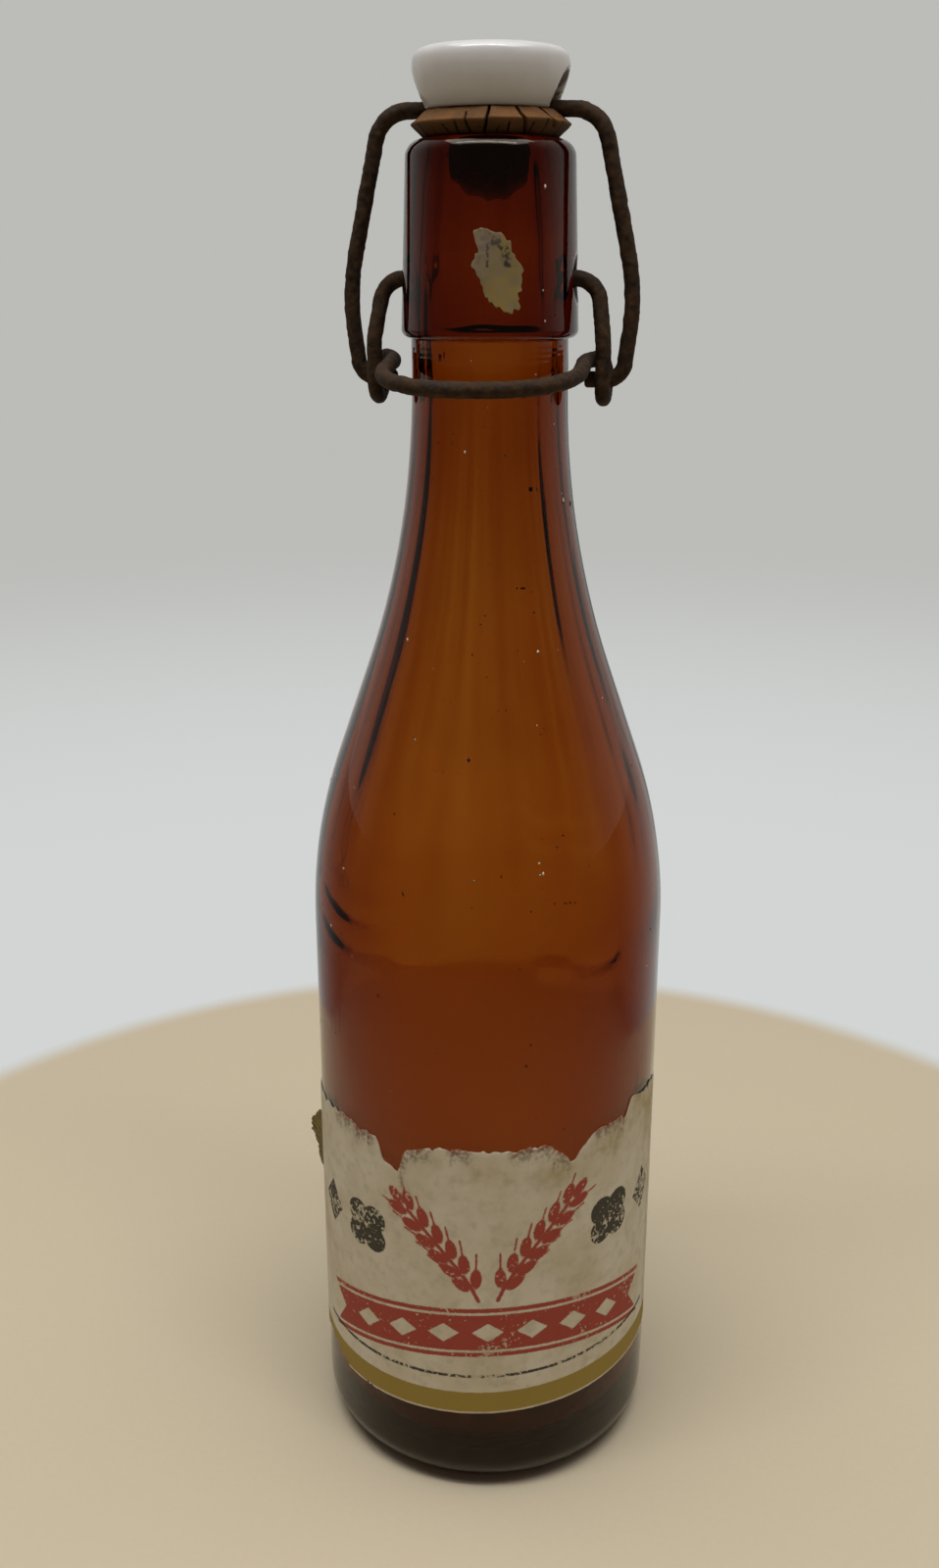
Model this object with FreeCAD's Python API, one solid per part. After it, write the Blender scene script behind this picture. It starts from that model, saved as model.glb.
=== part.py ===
import FreeCAD, Part
import math
import os

# Swing top bottle: a hollow glass bottle with a porcelain stopper on a wire closure.
# Millimetres, +Z up, front along -Y. The origin is the middle of the standing face.

# Glass body and shoulder
body_radius = 35.1
body_height = 117.5
heel_round = 7.4
standing_ring_width = 3.0
punt_height = 5.0
wall = 3.0
base_thickness = 5.5
inner_heel_round = 9.0
shoulder_round = 101.0
shoulder_slope = math.radians(19.1)
shoulder_height = 104.5

# Neck and lip ring
neck_radius = 14.25
neck_height = 7.0
lip_foot_radius = 16.0
lip_crown_radius = 15.0
lip_height = 32.9
lip_foot_round = 1.5
lip_crown_round = 3.0
bore_radius = 9.5
bore_length = 31.9
bore_flare_length = 6.0
mouth_round = 1.0

# Dimples that hold the lever
dimple_drop = 22.8
dimple_radius = 4.0
dimple_depth = 3.0

# Wires
wire_radius = 1.5
wire_clearance = 0.3
pin_gap = 0.5

# Lever: pins, side legs, eyes and the bow across the front
leg_clearance = 3.2
pin_bend = 4.5
leg_knee_drop = 10.6
leg_knee_bend = 8.0
eye_drop = 17.3
over_centre = 0.6
arm_rise = 3.45
arm_bend = 2.4
arm_lead = 4.8
arm_side_bend = 5.0
bow_drop = 17.4
bow_clearance = 2.5
bow_bend = 15.0

# Bail: hooks, side arms and the bar through the stopper
hook_length = 7.0
hook_bend = 3.4
bail_bulge = 1.9
bail_bulge_rise = 14.7
bail_bulge_bend = 40.0
bail_shoulder_width = 5.0
bail_shoulder_bend = 6.0

# Sealing washer
seat_clearance = 0.2
washer_foot_radius = 12.3
washer_radius = 14.3
washer_top_radius = 11.8
washer_edge_height = 2.2
washer_thickness = 4.3
washer_bore_clearance = 0.1

# Porcelain stopper head and plug
head_foot_radius = 12.0
head_radius = 13.6
head_flare_height = 6.4
head_flare_bulge = 0.3
head_rim_round = 3.4
head_dome_height = 0.85
bar_rise = 0.2
bar_hole_clearance = 0.2
bar_flare_radius = 5.2
spigot_radius = 6.0
plug_bead = 0.8
plug_bead_height = 1.6
plug_tip_radius = 4.6
plug_tip_round = 2.6
plug_length = 10.1

# Paper. Edges are given as angles in degrees and as shares of a height.
paper_thickness = 0.25
glue_gap = 0.05
label_turn = 9.0
label_foot_height = 19.9
label_edge_rise = 1.7
label_height = 65.5
label_torn_edge = [
    (-90, 0.895), (-51, 0.945), (-38, 0.922), (-36.5, 0.876), (-29.6, 0.838), (-27.5, 0.915),
    (-19, 0.942), (8, 0.928), (17, 0.939), (24, 0.902), (28.7, 0.884), (32.4, 0.931),
    (40, 0.959), (50.5, 0.948), (54.3, 1), (66.5, 0.979), (90, 0.939),
]
flap_rise = 34.0
flap_height = 15.5
flap_curl = 3.8
flap_curl_angle = 62.0
scrap_drop = 21.4
scrap_height = 15.0
scrap_outline = [
    (-12, 0.487), (-3, 0.5), (10, 0.407), (14.4, 0.22), (20.3, 0.053), (21, -0.187),
    (17.3, -0.32), (20, -0.44), (10.4, -0.493), (-2.5, -0.353), (-6.8, -0.133), (-13, 0.053),
    (-10.5, 0.22),
]

# Heights and places that follow from the sizes
neck_start = body_height + shoulder_height
lip_foot = neck_start + neck_height
lip_top = lip_foot + lip_height
pin_height = lip_top - dimple_drop
eye_height = pin_height - eye_drop
washer_foot = lip_top + seat_clearance
head_foot = washer_foot + washer_thickness
bar_height = head_foot + bar_rise
bar_hole_radius = wire_radius + bar_hole_clearance
leg_spread = lip_foot_radius + leg_clearance + wire_radius
eye_radius = 2 * wire_radius + wire_clearance

# Straight runs of a wire below this length are left out
shortest_run = 0.001

sideways = FreeCAD.Vector(1, 0, 0)
up = FreeCAD.Vector(0, 0, 1)
origin = FreeCAD.Vector(0, 0, 0)


def on_profile(radius, height):
    """A point of a turned outline."""
    return FreeCAD.Vector(radius, 0, height)


def on_arc(centre, radius, angle):
    """The outline point at an angle, from the radial direction upwards, on an arc."""
    return (centre[0] + radius * math.cos(angle), centre[1] + radius * math.sin(angle))


def arc_step(centre, radius, start, end):
    """An arc of an outline: its middle point and its end point."""
    return (on_arc(centre, radius, (start + end) / 2), on_arc(centre, radius, end))


def dome_step(edge_radius, edge_height, apex_height, inwards):
    """An arc of an outline between the edge of a dome and its apex on the axis."""
    rise = apex_height - edge_height
    sphere = (edge_radius ** 2 + rise ** 2) / (2 * rise)
    half = math.asin(edge_radius / sphere) / 2
    middle = (abs(sphere * math.sin(half)), apex_height - sphere * (1 - math.cos(half)))
    end = (0, apex_height) if inwards else (edge_radius, edge_height)
    return (middle, end)


def turned(outline):
    """A solid turned about Z from (radius, height) points, where a pair of points is an arc."""
    start = on_profile(*outline[0])
    here = start
    edges = []
    for step in outline[1:]:
        if isinstance(step[0], tuple):
            end = on_profile(*step[1])
            edges.append(Part.Arc(here, on_profile(*step[0]), end).toShape())
        else:
            end = on_profile(*step)
            edges.append(Part.LineSegment(here, end).toShape())
        here = end
    edges.append(Part.LineSegment(here, start).toShape())
    return Part.Face(Part.Wire(edges)).revolve(origin, up, 360)


def bent_wire(corners):
    """A round wire along straight runs that are joined by tangent bends, from (point, bend radius)."""
    points = [point for point, bend in corners]
    here = points[0]
    edges = []
    for before, (corner, bend), after in zip(points, corners[1:-1], points[2:]):
        arriving = (corner - before).normalize()
        leaving = (after - corner).normalize()
        half_turn = arriving.getAngle(leaving) / 2
        reach = bend * math.tan(half_turn)
        inward = (leaving - arriving).normalize()
        bend_start = corner - arriving * reach
        bend_middle = corner + inward * (bend / math.cos(half_turn) - bend)
        bend_end = corner + leaving * reach
        if here.distanceToPoint(bend_start) > shortest_run:
            edges.append(Part.LineSegment(here, bend_start).toShape())
        edges.append(Part.Arc(bend_start, bend_middle, bend_end).toShape())
        here = bend_end
    edges.append(Part.LineSegment(here, points[-1]).toShape())
    section = Part.Wire(Part.makeCircle(wire_radius, points[0], points[1] - points[0]))
    return Part.Wire(edges).makePipeShell([section], True, False)


def both_sides(corners):
    """The corners of the right half of a wire, joined to the same corners on the left."""
    left = [(FreeCAD.Vector(-point.x, point.y, point.z), bend) for point, bend in corners]
    return corners + left[::-1]


def glass_bottle():
    """The blown bottle, hollow, with its lip ring and the two dimples for the lever."""
    straight_start = (
        body_radius - shoulder_round * (1 - math.cos(shoulder_slope)),
        body_height + shoulder_round * math.sin(shoulder_slope),
    )
    overshoot = (neck_start - straight_start[1]) * math.tan(shoulder_slope)
    neck_round = (overshoot - straight_start[0] + neck_radius) / (1 / math.cos(shoulder_slope) - 1)
    neck_centre = (neck_radius + neck_round, neck_start)
    shoulder_centre = (body_radius - shoulder_round, body_height)
    straight_end = on_arc(neck_centre, neck_round, math.pi + shoulder_slope)
    inner_straight_start = on_arc(shoulder_centre, shoulder_round - wall, shoulder_slope)
    ring_outer = body_radius - heel_round
    ring_inner = ring_outer - standing_ring_width
    inner_radius = body_radius - wall
    floor_radius = inner_radius - inner_heel_round
    floor_apex = punt_height + base_thickness
    heel_centre = (ring_outer, heel_round)
    inner_heel_centre = (floor_radius, base_thickness + inner_heel_round)
    foot_round_centre = (lip_foot_radius - lip_foot_round, lip_foot + lip_foot_round)
    crown_centre = (lip_crown_radius - lip_crown_round, lip_top - lip_crown_round)
    mouth_centre = (bore_radius + mouth_round, lip_top - mouth_round)
    bore_end = lip_top - bore_length
    quarter = math.pi / 2
    outside = [
        (0, punt_height),
        dome_step(ring_inner, 0, punt_height, False),
        (ring_outer, 0),
        arc_step(heel_centre, heel_round, -quarter, 0),
        (body_radius, body_height),
        arc_step(shoulder_centre, shoulder_round, 0, shoulder_slope),
        straight_end,
        arc_step(neck_centre, neck_round, math.pi + shoulder_slope, math.pi),
        (neck_radius, lip_foot),
        (lip_foot_radius - lip_foot_round, lip_foot),
        arc_step(foot_round_centre, lip_foot_round, -quarter, 0),
        (lip_crown_radius, lip_top - lip_crown_round),
        arc_step(crown_centre, lip_crown_round, 0, quarter),
    ]
    inside = [
        (bore_radius + mouth_round, lip_top),
        arc_step(mouth_centre, mouth_round, quarter, math.pi),
        (bore_radius, bore_end),
        (neck_radius - wall, bore_end - bore_flare_length),
        (neck_radius - wall, neck_start),
        arc_step(neck_centre, neck_round + wall, math.pi, math.pi + shoulder_slope),
        inner_straight_start,
        arc_step(shoulder_centre, shoulder_round - wall, shoulder_slope, 0),
        (inner_radius, base_thickness + inner_heel_round),
        arc_step(inner_heel_centre, inner_heel_round, 0, -quarter),
        dome_step(floor_radius, base_thickness, floor_apex, True),
    ]
    bottle = turned(outside + inside)
    for side in (-1, 1):
        bottle = bottle.cut(dimple(side))
    return bottle


def lip_radius_at(height):
    """The radius of the tapered side of the lip ring."""
    foot = lip_foot + lip_foot_round
    crown = lip_top - lip_crown_round
    share = (height - foot) / (crown - foot)
    return lip_foot_radius + share * (lip_crown_radius - lip_foot_radius)


def dimple(side):
    """The ball that hollows out one dimple in the lip ring."""
    ball_radius = (dimple_radius ** 2 + dimple_depth ** 2) / (2 * dimple_depth)
    offset = lip_radius_at(pin_height) - dimple_depth + ball_radius
    return Part.makeSphere(ball_radius, FreeCAD.Vector(side * offset, 0, pin_height))


def wire_lever():
    """The lower wire: pins in the dimples, legs, an eye on each side and the bow in front."""
    pin_end = lip_radius_at(pin_height) - dimple_depth + pin_gap
    eye_front = over_centre - eye_radius
    eye_back = over_centre + eye_radius
    eye_foot = eye_height - eye_radius
    arm_spread = leg_spread - eye_radius
    arm_height = eye_height + arm_rise
    crown_corner = math.hypot(lip_crown_radius - lip_crown_round, dimple_drop - lip_crown_round)
    bow_swing = crown_corner + lip_crown_round + wire_radius + bow_clearance
    bow_front = -math.sqrt(bow_swing ** 2 - bow_drop ** 2)
    bow_slope = (arm_height - (pin_height - bow_drop)) / (over_centre - bow_front)
    arm_front = eye_back - arm_lead

    def on_bow(across, along):
        """A point of the sloping plane that the arms and the bow lie in."""
        return FreeCAD.Vector(across, along, arm_height + bow_slope * (along - over_centre))

    right = [
        (FreeCAD.Vector(pin_end, 0, pin_height), 0),
        (FreeCAD.Vector(leg_spread - wire_radius, 0, pin_height), pin_bend),
        (FreeCAD.Vector(leg_spread, eye_front, pin_height - leg_knee_drop), leg_knee_bend),
        (FreeCAD.Vector(leg_spread, eye_front, eye_foot), eye_radius),
        (FreeCAD.Vector(leg_spread, eye_back, eye_foot), eye_radius),
        (on_bow(leg_spread, eye_back), arm_bend),
        (on_bow(arm_spread, arm_front), arm_side_bend),
        (on_bow(arm_spread, bow_front), bow_bend),
    ]
    return bent_wire(both_sides(right))


def wire_bail():
    """The upper wire: a bar through the stopper, two side arms and a hook into each eye."""
    hook_corner = leg_spread + 2 * wire_radius + wire_clearance
    hook_end = hook_corner - hook_length
    bulge_height = eye_height + bail_bulge_rise
    shoulder = washer_radius + bail_shoulder_width

    def leaning(across, height):
        """A point of the bail, which leans from the eyes, behind the pins, to the stopper."""
        lean = over_centre * (bar_height - height) / (bar_height - eye_height)
        return FreeCAD.Vector(across, lean, height)

    right = [
        (leaning(hook_end, eye_height), 0),
        (leaning(hook_corner, eye_height), hook_bend),
        (leaning(hook_corner + bail_bulge, bulge_height), bail_bulge_bend),
        (leaning(shoulder, bar_height), bail_shoulder_bend),
    ]
    return bent_wire(both_sides(right))


def bar_hole(reach):
    """The round hole that the bar of the bail turns in, reaching to both sides."""
    start = FreeCAD.Vector(-reach, 0, bar_height)
    return Part.makeCylinder(bar_hole_radius, 2 * reach, start, sideways)


def sealing_washer():
    """The rubber washer, bevelled above and below its edge, with the groove that the bar pressed in."""
    bore = spigot_radius + washer_bore_clearance
    washer = turned([
        (bore, washer_foot),
        (washer_foot_radius, washer_foot),
        (washer_radius, washer_foot + washer_edge_height),
        (washer_top_radius, head_foot),
        (bore, head_foot),
    ])
    return washer.cut(bar_hole(washer_radius))


def stopper_head():
    """The porcelain head with its plug, and the cross hole that flares towards both ends."""
    rim_height = head_foot + head_flare_height
    rim_centre = (head_radius - head_rim_round, rim_height)
    dome_edge = rim_height + head_rim_round
    bead_radius = spigot_radius + plug_bead
    bead_height = washer_foot - plug_bead_height
    tip = washer_foot - plug_length
    flare_middle = (
        (head_foot_radius + head_radius) / 2 + head_flare_bulge,
        head_foot + head_flare_height / 2,
    )
    head = turned([
        (0, tip),
        dome_step(plug_tip_radius, tip + plug_tip_round, tip, False),
        (bead_radius, bead_height),
        (spigot_radius, washer_foot),
        (spigot_radius, head_foot),
        (head_foot_radius, head_foot),
        (flare_middle, (head_radius, rim_height)),
        arc_step(rim_centre, head_rim_round, 0, math.pi / 2),
        dome_step(head_radius - head_rim_round, dome_edge, dome_edge + head_dome_height, True),
    ])
    head = head.cut(bar_hole(head_radius))
    flare_length = head_radius - spigot_radius
    for side in (-1, 1):
        start = FreeCAD.Vector(side * spigot_radius, 0, bar_height)
        outwards = sideways * side
        flare = Part.makeCone(bar_hole_radius, bar_flare_radius, flare_length, start, outwards)
        head = head.cut(flare)
    return head


def paper_on(foot, crown, corners):
    """Thin paper on a straight or tapered side between two outline points, cut to a front outline."""
    layer = turned([
        (foot[0] + glue_gap, foot[1]),
        (foot[0] + glue_gap + paper_thickness, foot[1]),
        (crown[0] + glue_gap + paper_thickness, crown[1]),
        (crown[0] + glue_gap, crown[1]),
    ])
    points = [FreeCAD.Vector(across, 0, height) for across, height in corners]
    outline = Part.makePolygon(points + points[:1])
    depth = foot[0] + crown[0]
    return layer.common(Part.Face(outline).extrude(FreeCAD.Vector(0, -depth, 0)))


def turned_to_front(paper):
    """The paper, turned about the axis of the bottle to where it was stuck on."""
    paper.rotate(origin, up, label_turn)
    return paper


def body_label():
    """The label around the front of the body, torn along its top, with a curled flap on its left."""
    outer = body_radius + glue_gap + paper_thickness
    torn = [(outer * math.sin(math.radians(angle)), label_foot_height + share * label_height)
            for angle, share in label_torn_edge]
    bottom = [(outer, label_foot_height + label_edge_rise), (-outer, label_foot_height - label_edge_rise)]
    label = paper_on((body_radius, heel_round), (body_radius, body_height), torn + bottom)
    curl_centre = FreeCAD.Vector(-outer - flap_curl, 0, label_foot_height + flap_rise)
    roll = Part.makeCylinder(flap_curl + paper_thickness, flap_height, curl_centre, up, flap_curl_angle)
    flap = roll.cut(Part.makeCylinder(flap_curl, flap_height, curl_centre, up))
    return turned_to_front(label.fuse(flap).removeSplitter())


def neck_label_scrap():
    """The scrap of paper that is left on the front of the lip ring."""
    foot = (lip_foot_radius, lip_foot + lip_foot_round)
    crown = (lip_crown_radius, lip_top - lip_crown_round)
    middle = lip_top - scrap_drop
    radius = lip_radius_at(middle) + glue_gap + paper_thickness
    corners = [(radius * math.sin(math.radians(angle)), middle + share * scrap_height)
               for angle, share in scrap_outline]
    return turned_to_front(paper_on(foot, crown, corners))


def main():
    """Writes each piece as its own file."""
    os.makedirs("parts", exist_ok=True)
    pieces = (
        glass_bottle,
        stopper_head,
        sealing_washer,
        wire_bail,
        wire_lever,
        body_label,
        neck_label_scrap,
    )
    for piece in pieces:
        piece().exportStep("parts/" + piece.__name__ + ".step")


main()
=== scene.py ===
import itertools
import math

import bpy
import numpy as np
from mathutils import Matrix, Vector


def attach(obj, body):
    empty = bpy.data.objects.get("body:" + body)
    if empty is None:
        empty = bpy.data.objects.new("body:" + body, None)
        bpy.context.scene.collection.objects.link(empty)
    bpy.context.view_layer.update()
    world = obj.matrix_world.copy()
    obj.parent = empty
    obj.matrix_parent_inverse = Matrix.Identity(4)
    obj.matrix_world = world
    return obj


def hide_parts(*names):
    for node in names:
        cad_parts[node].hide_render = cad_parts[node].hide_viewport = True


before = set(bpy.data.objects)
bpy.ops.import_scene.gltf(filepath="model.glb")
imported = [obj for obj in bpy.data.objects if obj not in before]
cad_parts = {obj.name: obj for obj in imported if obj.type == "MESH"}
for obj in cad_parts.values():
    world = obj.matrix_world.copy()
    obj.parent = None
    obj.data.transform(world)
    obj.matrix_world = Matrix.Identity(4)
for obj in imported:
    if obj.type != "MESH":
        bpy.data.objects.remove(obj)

bl_info = {
    "name": "Swing Top Bottle",
    "version": (1, 0, 0),
    "blender": (4, 5, 0),
    "location": "3D View > Sidebar > Swing Top",
    "description": "Dresses a swing top bottle in amber glass, porcelain, rubber, rusty wire and torn paper",
    "category": "Add Mesh",
}

MM = 0.001
QUARTER = math.pi / 2
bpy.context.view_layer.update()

# Glass that the panel does not change
HEEL_ROUND = 7.4 * MM
STANDING_RING = 3 * MM
PUNT = 5 * MM
BASE = 5.5 * MM
INNER_HEEL = 9 * MM
SHOULDER_ROUND = 101 * MM
SHOULDER_SLOPE = math.radians(19.1)
NECK_HEIGHT = 7 * MM
LINED_NECK = 4.4 * MM
LIP_FOOT_RADIUS = 16 * MM
LIP_CROWN_RADIUS = 15 * MM
LIP_FOOT_ROUND = 1.5 * MM
LIP_CROWN_ROUND = 3 * MM
BORE_RADIUS = 9.5 * MM
BORE_LENGTH = 31.9 * MM
BORE_FLARE = 6 * MM
MOUTH_ROUND = 1 * MM
DIMPLE_DROP = 22.8 * MM
DIMPLE_RADIUS = 4 * MM
DIMPLE_DEPTH = 3 * MM
DIMPLE_ROUND = 0.7 * MM
SEAM_RIDGE = 0.12 * MM
SEAM_HALF_WIDTH = 0.5 * MM
PUNT_CENTRE = 6 * MM
# Radius of the inner wall in mm, which turns an angle into a distance along it
INNER_WALL = 32
# Rows of the outer outline from the punt to the start of the heel
BASE_ROWS = 15

# Closure
EYE_DROP = 17.3 * MM
OVER_CENTRE = 0.6 * MM
SEAT_CLEARANCE = 0.2 * MM
WASHER_THICKNESS = 4.3 * MM
WASHER_FOOT_RADIUS = 12.3 * MM
WASHER_TOP_RADIUS = 11.8 * MM
WASHER_EDGE_HEIGHT = 2.2 * MM
WASHER_EDGE_FLAT = 0.25 * MM
WASHER_EDGE_TRIM = 0.15 * MM
WASHER_BEVEL = (0.3 * MM, 0.2 * MM)
WASHER_PLAY = 0.1 * MM
WASHER_DISH = 0.05 * MM
HEAD_FOOT_RADIUS = 12 * MM
HEAD_FLARE_HEIGHT = 6.4 * MM
HEAD_RIM_ROUND = 3.4 * MM
HEAD_DOME = 0.85 * MM
SPIGOT_RADIUS = 6 * MM
BAR_RISE = 0.2 * MM
BAR_HOLE_RADIUS = 1.7 * MM
BAR_FLARE_RADIUS = 6.9 * MM
HEAD_EDGE_ROUND = 0.6 * MM
FLARE_BULGE = 1.2 * MM
PLUG_LENGTH = 10.1 * MM
PLUG_TIP_RADIUS = 5.8 * MM
PLUG_TIP_HEIGHT = 3 * MM
BEAD_BULGE = 1.5 * MM
BEAD_DROP = 2 * MM
LEVER_GAP = 3.2 * MM
EYE_PLAY = 0.3 * MM
LEG_DROP = 10.6 * MM
ARM_RISE = 3.45 * MM
ARM_RUN = 4.8 * MM
BOW_DROP = 17.4 * MM
BOW_CLEARANCE = 2.5 * MM
HOOK_LENGTH = 7 * MM
BULGE_RISE = 14.7 * MM
BULGE_OUT = 1.9 * MM
BAIL_SHOULDER = 5 * MM

# Paper
LABEL_TURN = math.radians(9)
LABEL_FOOT = 19.9 * MM
LABEL_EDGE_RISE = 1.7 * MM
PAPER_BACK = 0.04 * MM
PAPER_FRONT = 0.17 * MM
# Tear along the top of the label: turn from its middle in degrees and share of its height
LABEL_TORN_EDGE = (
    (-90, 0.895), (-51, 0.947), (-38, 0.924), (-36.5, 0.876), (-29.6, 0.838), (-28, 0.93), (-24, 0.94),
    (-18, 0.943), (-10, 0.962), (-2, 0.947), (5, 0.95), (10, 0.957), (18, 0.962), (24, 0.927),
    (26.6, 0.892), (28.7, 0.887), (32.4, 0.919), (35, 0.955), (40, 0.97), (50.5, 0.958), (54.3, 1),
    (66.5, 0.979), (90, 0.939),
)
FLAP_RISE = 34.8 * MM
FLAP_HEIGHT = 15.5 * MM
FLAP_CURL = 3.8 * MM
FLAP_REACH = math.radians(72)
FLAP_GAP = 0.12 * MM
FLAP_OVAL = 0.6
FLAP_FORWARD = 2.2 * MM
# Free edge of the flap: share of its height and share of its reach
FLAP_OUTLINE = (
    (0.1, 0.1), (0.15, 0.41), (0.23, 0.59), (0.3, 0.66), (0.4, 0.7), (0.415, 0.62), (0.45, 0.74),
    (0.52, 0.83), (0.6, 0.92), (0.67, 0.98), (0.76, 1), (0.85, 0.94), (0.93, 0.72), (1, 0.45),
)
SCRAP_DROP = 21.4 * MM
SCRAP_HEIGHT = 15 * MM
# Border of the scrap: turn from its middle in degrees and share of its height
SCRAP_OUTLINE = (
    (-12, 0.487), (-3, 0.5), (10, 0.407), (14.4, 0.22), (20.3, 0.053), (21, -0.187),
    (17.3, -0.32), (20, -0.44), (10.4, -0.493), (-2.5, -0.353), (-6.8, -0.133), (-13, 0.053),
    (-10.5, 0.22),
)

# A distance from every ink, in mm, for paper that has none
NO_INK = 9.0

# Room: its colours, its light, and how far backwards a direction points where the dim front ends and
# where the pale back starts
ROOM_FRONT = "#63605d"
ROOM_BACK = "#bcbcb9"
ROOM_NEAR = "#d2d5d4"
ROOM_LIGHT = 0.65
WIDE_ROOM = (-0.4, 0.4)
NARROW_ROOM = (0.1, 0.95)
FLOOR_RINGS = (0.05, 0.4, 1, 3)
FLOOR_SIDES = 96

# Camera, for a picture of 958 by 1600
CAMERA_PLACE = (0.040662, -0.280188, 0.2426)
CAMERA_TURN = math.radians(9)
CAMERA_PITCH = math.radians(19.263)
CAMERA_LENS = 34.594


def linear(code):
    """An sRGB colour written in hex, as the linear red, green, blue and alpha that Blender works in."""
    shares = [int(code[place:place + 2], 16) / 255 for place in (1, 3, 5)]
    return [s / 12.92 if s <= 0.04045 else ((s + 0.055) / 1.055) ** 2.4 for s in shares] + [1.0]


def dimmed(colour, red, green, blue):
    """A colour with a share of each of its parts."""
    return [colour[0] * red, colour[1] * green, colour[2] * blue, 1.0]


class BottleSizes(bpy.types.PropertyGroup):
    """Sizes of the bottle and its closure."""
    body_radius: bpy.props.FloatProperty(
        name="Body radius", description="Outer radius of the glass body", default=35.1 * MM, unit="LENGTH")
    body_height: bpy.props.FloatProperty(
        name="Body height", description="Height of the straight body", default=117.5 * MM, unit="LENGTH")
    wall: bpy.props.FloatProperty(
        name="Wall", description="Thickness of the glass", default=3 * MM, unit="LENGTH")
    shoulder_height: bpy.props.FloatProperty(
        name="Shoulder height", description="Height of the tapered shoulder",
        default=104.5 * MM, unit="LENGTH")
    neck_radius: bpy.props.FloatProperty(
        name="Neck radius", description="Outer radius of the neck", default=14.25 * MM, unit="LENGTH")
    lip_height: bpy.props.FloatProperty(
        name="Lip height", description="Height of the lip ring", default=32.9 * MM, unit="LENGTH")
    wire_radius: bpy.props.FloatProperty(
        name="Wire radius", description="Radius of both wires", default=1.5 * MM, unit="LENGTH")
    washer_radius: bpy.props.FloatProperty(
        name="Washer radius", description="Radius of the washer's edge", default=14.3 * MM, unit="LENGTH")
    head_radius: bpy.props.FloatProperty(
        name="Head radius", description="Radius of the porcelain rim", default=13.6 * MM, unit="LENGTH")
    label_height: bpy.props.FloatProperty(
        name="Label height", description="Height of the label to its tip", default=65.5 * MM, unit="LENGTH")


class BottleColours(bpy.types.PropertyGroup):
    """Colours of the finishes."""
    glass: bpy.props.FloatVectorProperty(
        name="Glass", description="Colour that the glass keeps of light passing through it", size=4,
        min=0, max=1, default=linear("#e4bf29"), subtype="COLOR")
    porcelain: bpy.props.FloatVectorProperty(
        name="Porcelain", description="Glazed stopper", size=4,
        min=0, max=1, default=linear("#d4d1cf"), subtype="COLOR")
    rubber: bpy.props.FloatVectorProperty(
        name="Rubber", description="Perished washer", size=4,
        min=0, max=1, default=linear("#734b20"), subtype="COLOR")
    steel: bpy.props.FloatVectorProperty(
        name="Steel", description="Dark skin of the wires", size=4,
        min=0, max=1, default=linear("#281b12"), subtype="COLOR")
    rust: bpy.props.FloatVectorProperty(
        name="Rust", description="Rust on the wires", size=4,
        min=0, max=1, default=linear("#46321e"), subtype="COLOR")
    paper: bpy.props.FloatVectorProperty(
        name="Paper", description="Aged paper of the label", size=4,
        min=0, max=1, default=linear("#d9cfbb"), subtype="COLOR")
    ochre: bpy.props.FloatVectorProperty(
        name="Ochre", description="Border along the foot of the label", size=4,
        min=0, max=1, default=linear("#99802e"), subtype="COLOR")
    red_ink: bpy.props.FloatVectorProperty(
        name="Red ink", description="Red print", size=4,
        min=0, max=1, default=linear("#a03624"), subtype="COLOR")
    black_ink: bpy.props.FloatVectorProperty(
        name="Black ink", description="Black print", size=4,
        min=0, max=1, default=linear("#332d20"), subtype="COLOR")
    floor: bpy.props.FloatVectorProperty(
        name="Floor", description="Plain floor", size=4,
        min=0, max=1, default=linear("#d8c9ad"), subtype="COLOR")


def arc(centre, radius, start, end, steps):
    """Outline points on a circle about a centre, from one angle up to, but not at, another."""
    angles = np.linspace(start, end, steps, endpoint=False)
    return np.stack([centre[0] + radius * np.cos(angles), centre[1] + radius * np.sin(angles)], axis=-1)


def run(start, end, steps):
    """Outline points on a straight line, from one point up to, but not at, another."""
    return np.linspace(start, end, steps, endpoint=False)


def dome(edge, apex, steps):
    """Outline points from the edge of a ball cap to its apex on the axis, the apex left out."""
    rise = apex - edge[1]
    ball = (edge[0] ** 2 + rise ** 2) / (2 * rise)
    lean = np.linspace(math.asin(edge[0] / ball), 0, steps, endpoint=False)
    return np.stack([ball * np.sin(lean), apex - ball * (1 - np.cos(lean))], axis=-1)


def smooth_step(values, low, high):
    """Runs from 0 below one value to 1 above the other, level at both ends."""
    share = np.clip((values - low) / (high - low), 0, 1)
    return share * share * (3 - 2 * share)


def between(values, start, full, fading, end):
    """Runs from 0 up to 1 and back to 0 over four rising values, level at each of them."""
    return smooth_step(values, start, full) * (1 - smooth_step(values, fading, end))


def bell(values, middle, width):
    """A bell curve, 1 at its middle and about a third at its width to either side."""
    return np.exp(-((values - middle) / width) ** 2)


def within_half_turn(angle):
    """The same direction as an angle, from minus to plus half a turn."""
    return (angle + math.pi) % (2 * math.pi) - math.pi


def soft_least(first, second, round_off):
    """The lesser of two heights, with the corner where they meet rounded off."""
    share = np.clip(0.5 + 0.5 * (second - first) / round_off, 0, 1)
    return second + (first - second) * share - round_off * share * (1 - share)


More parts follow.
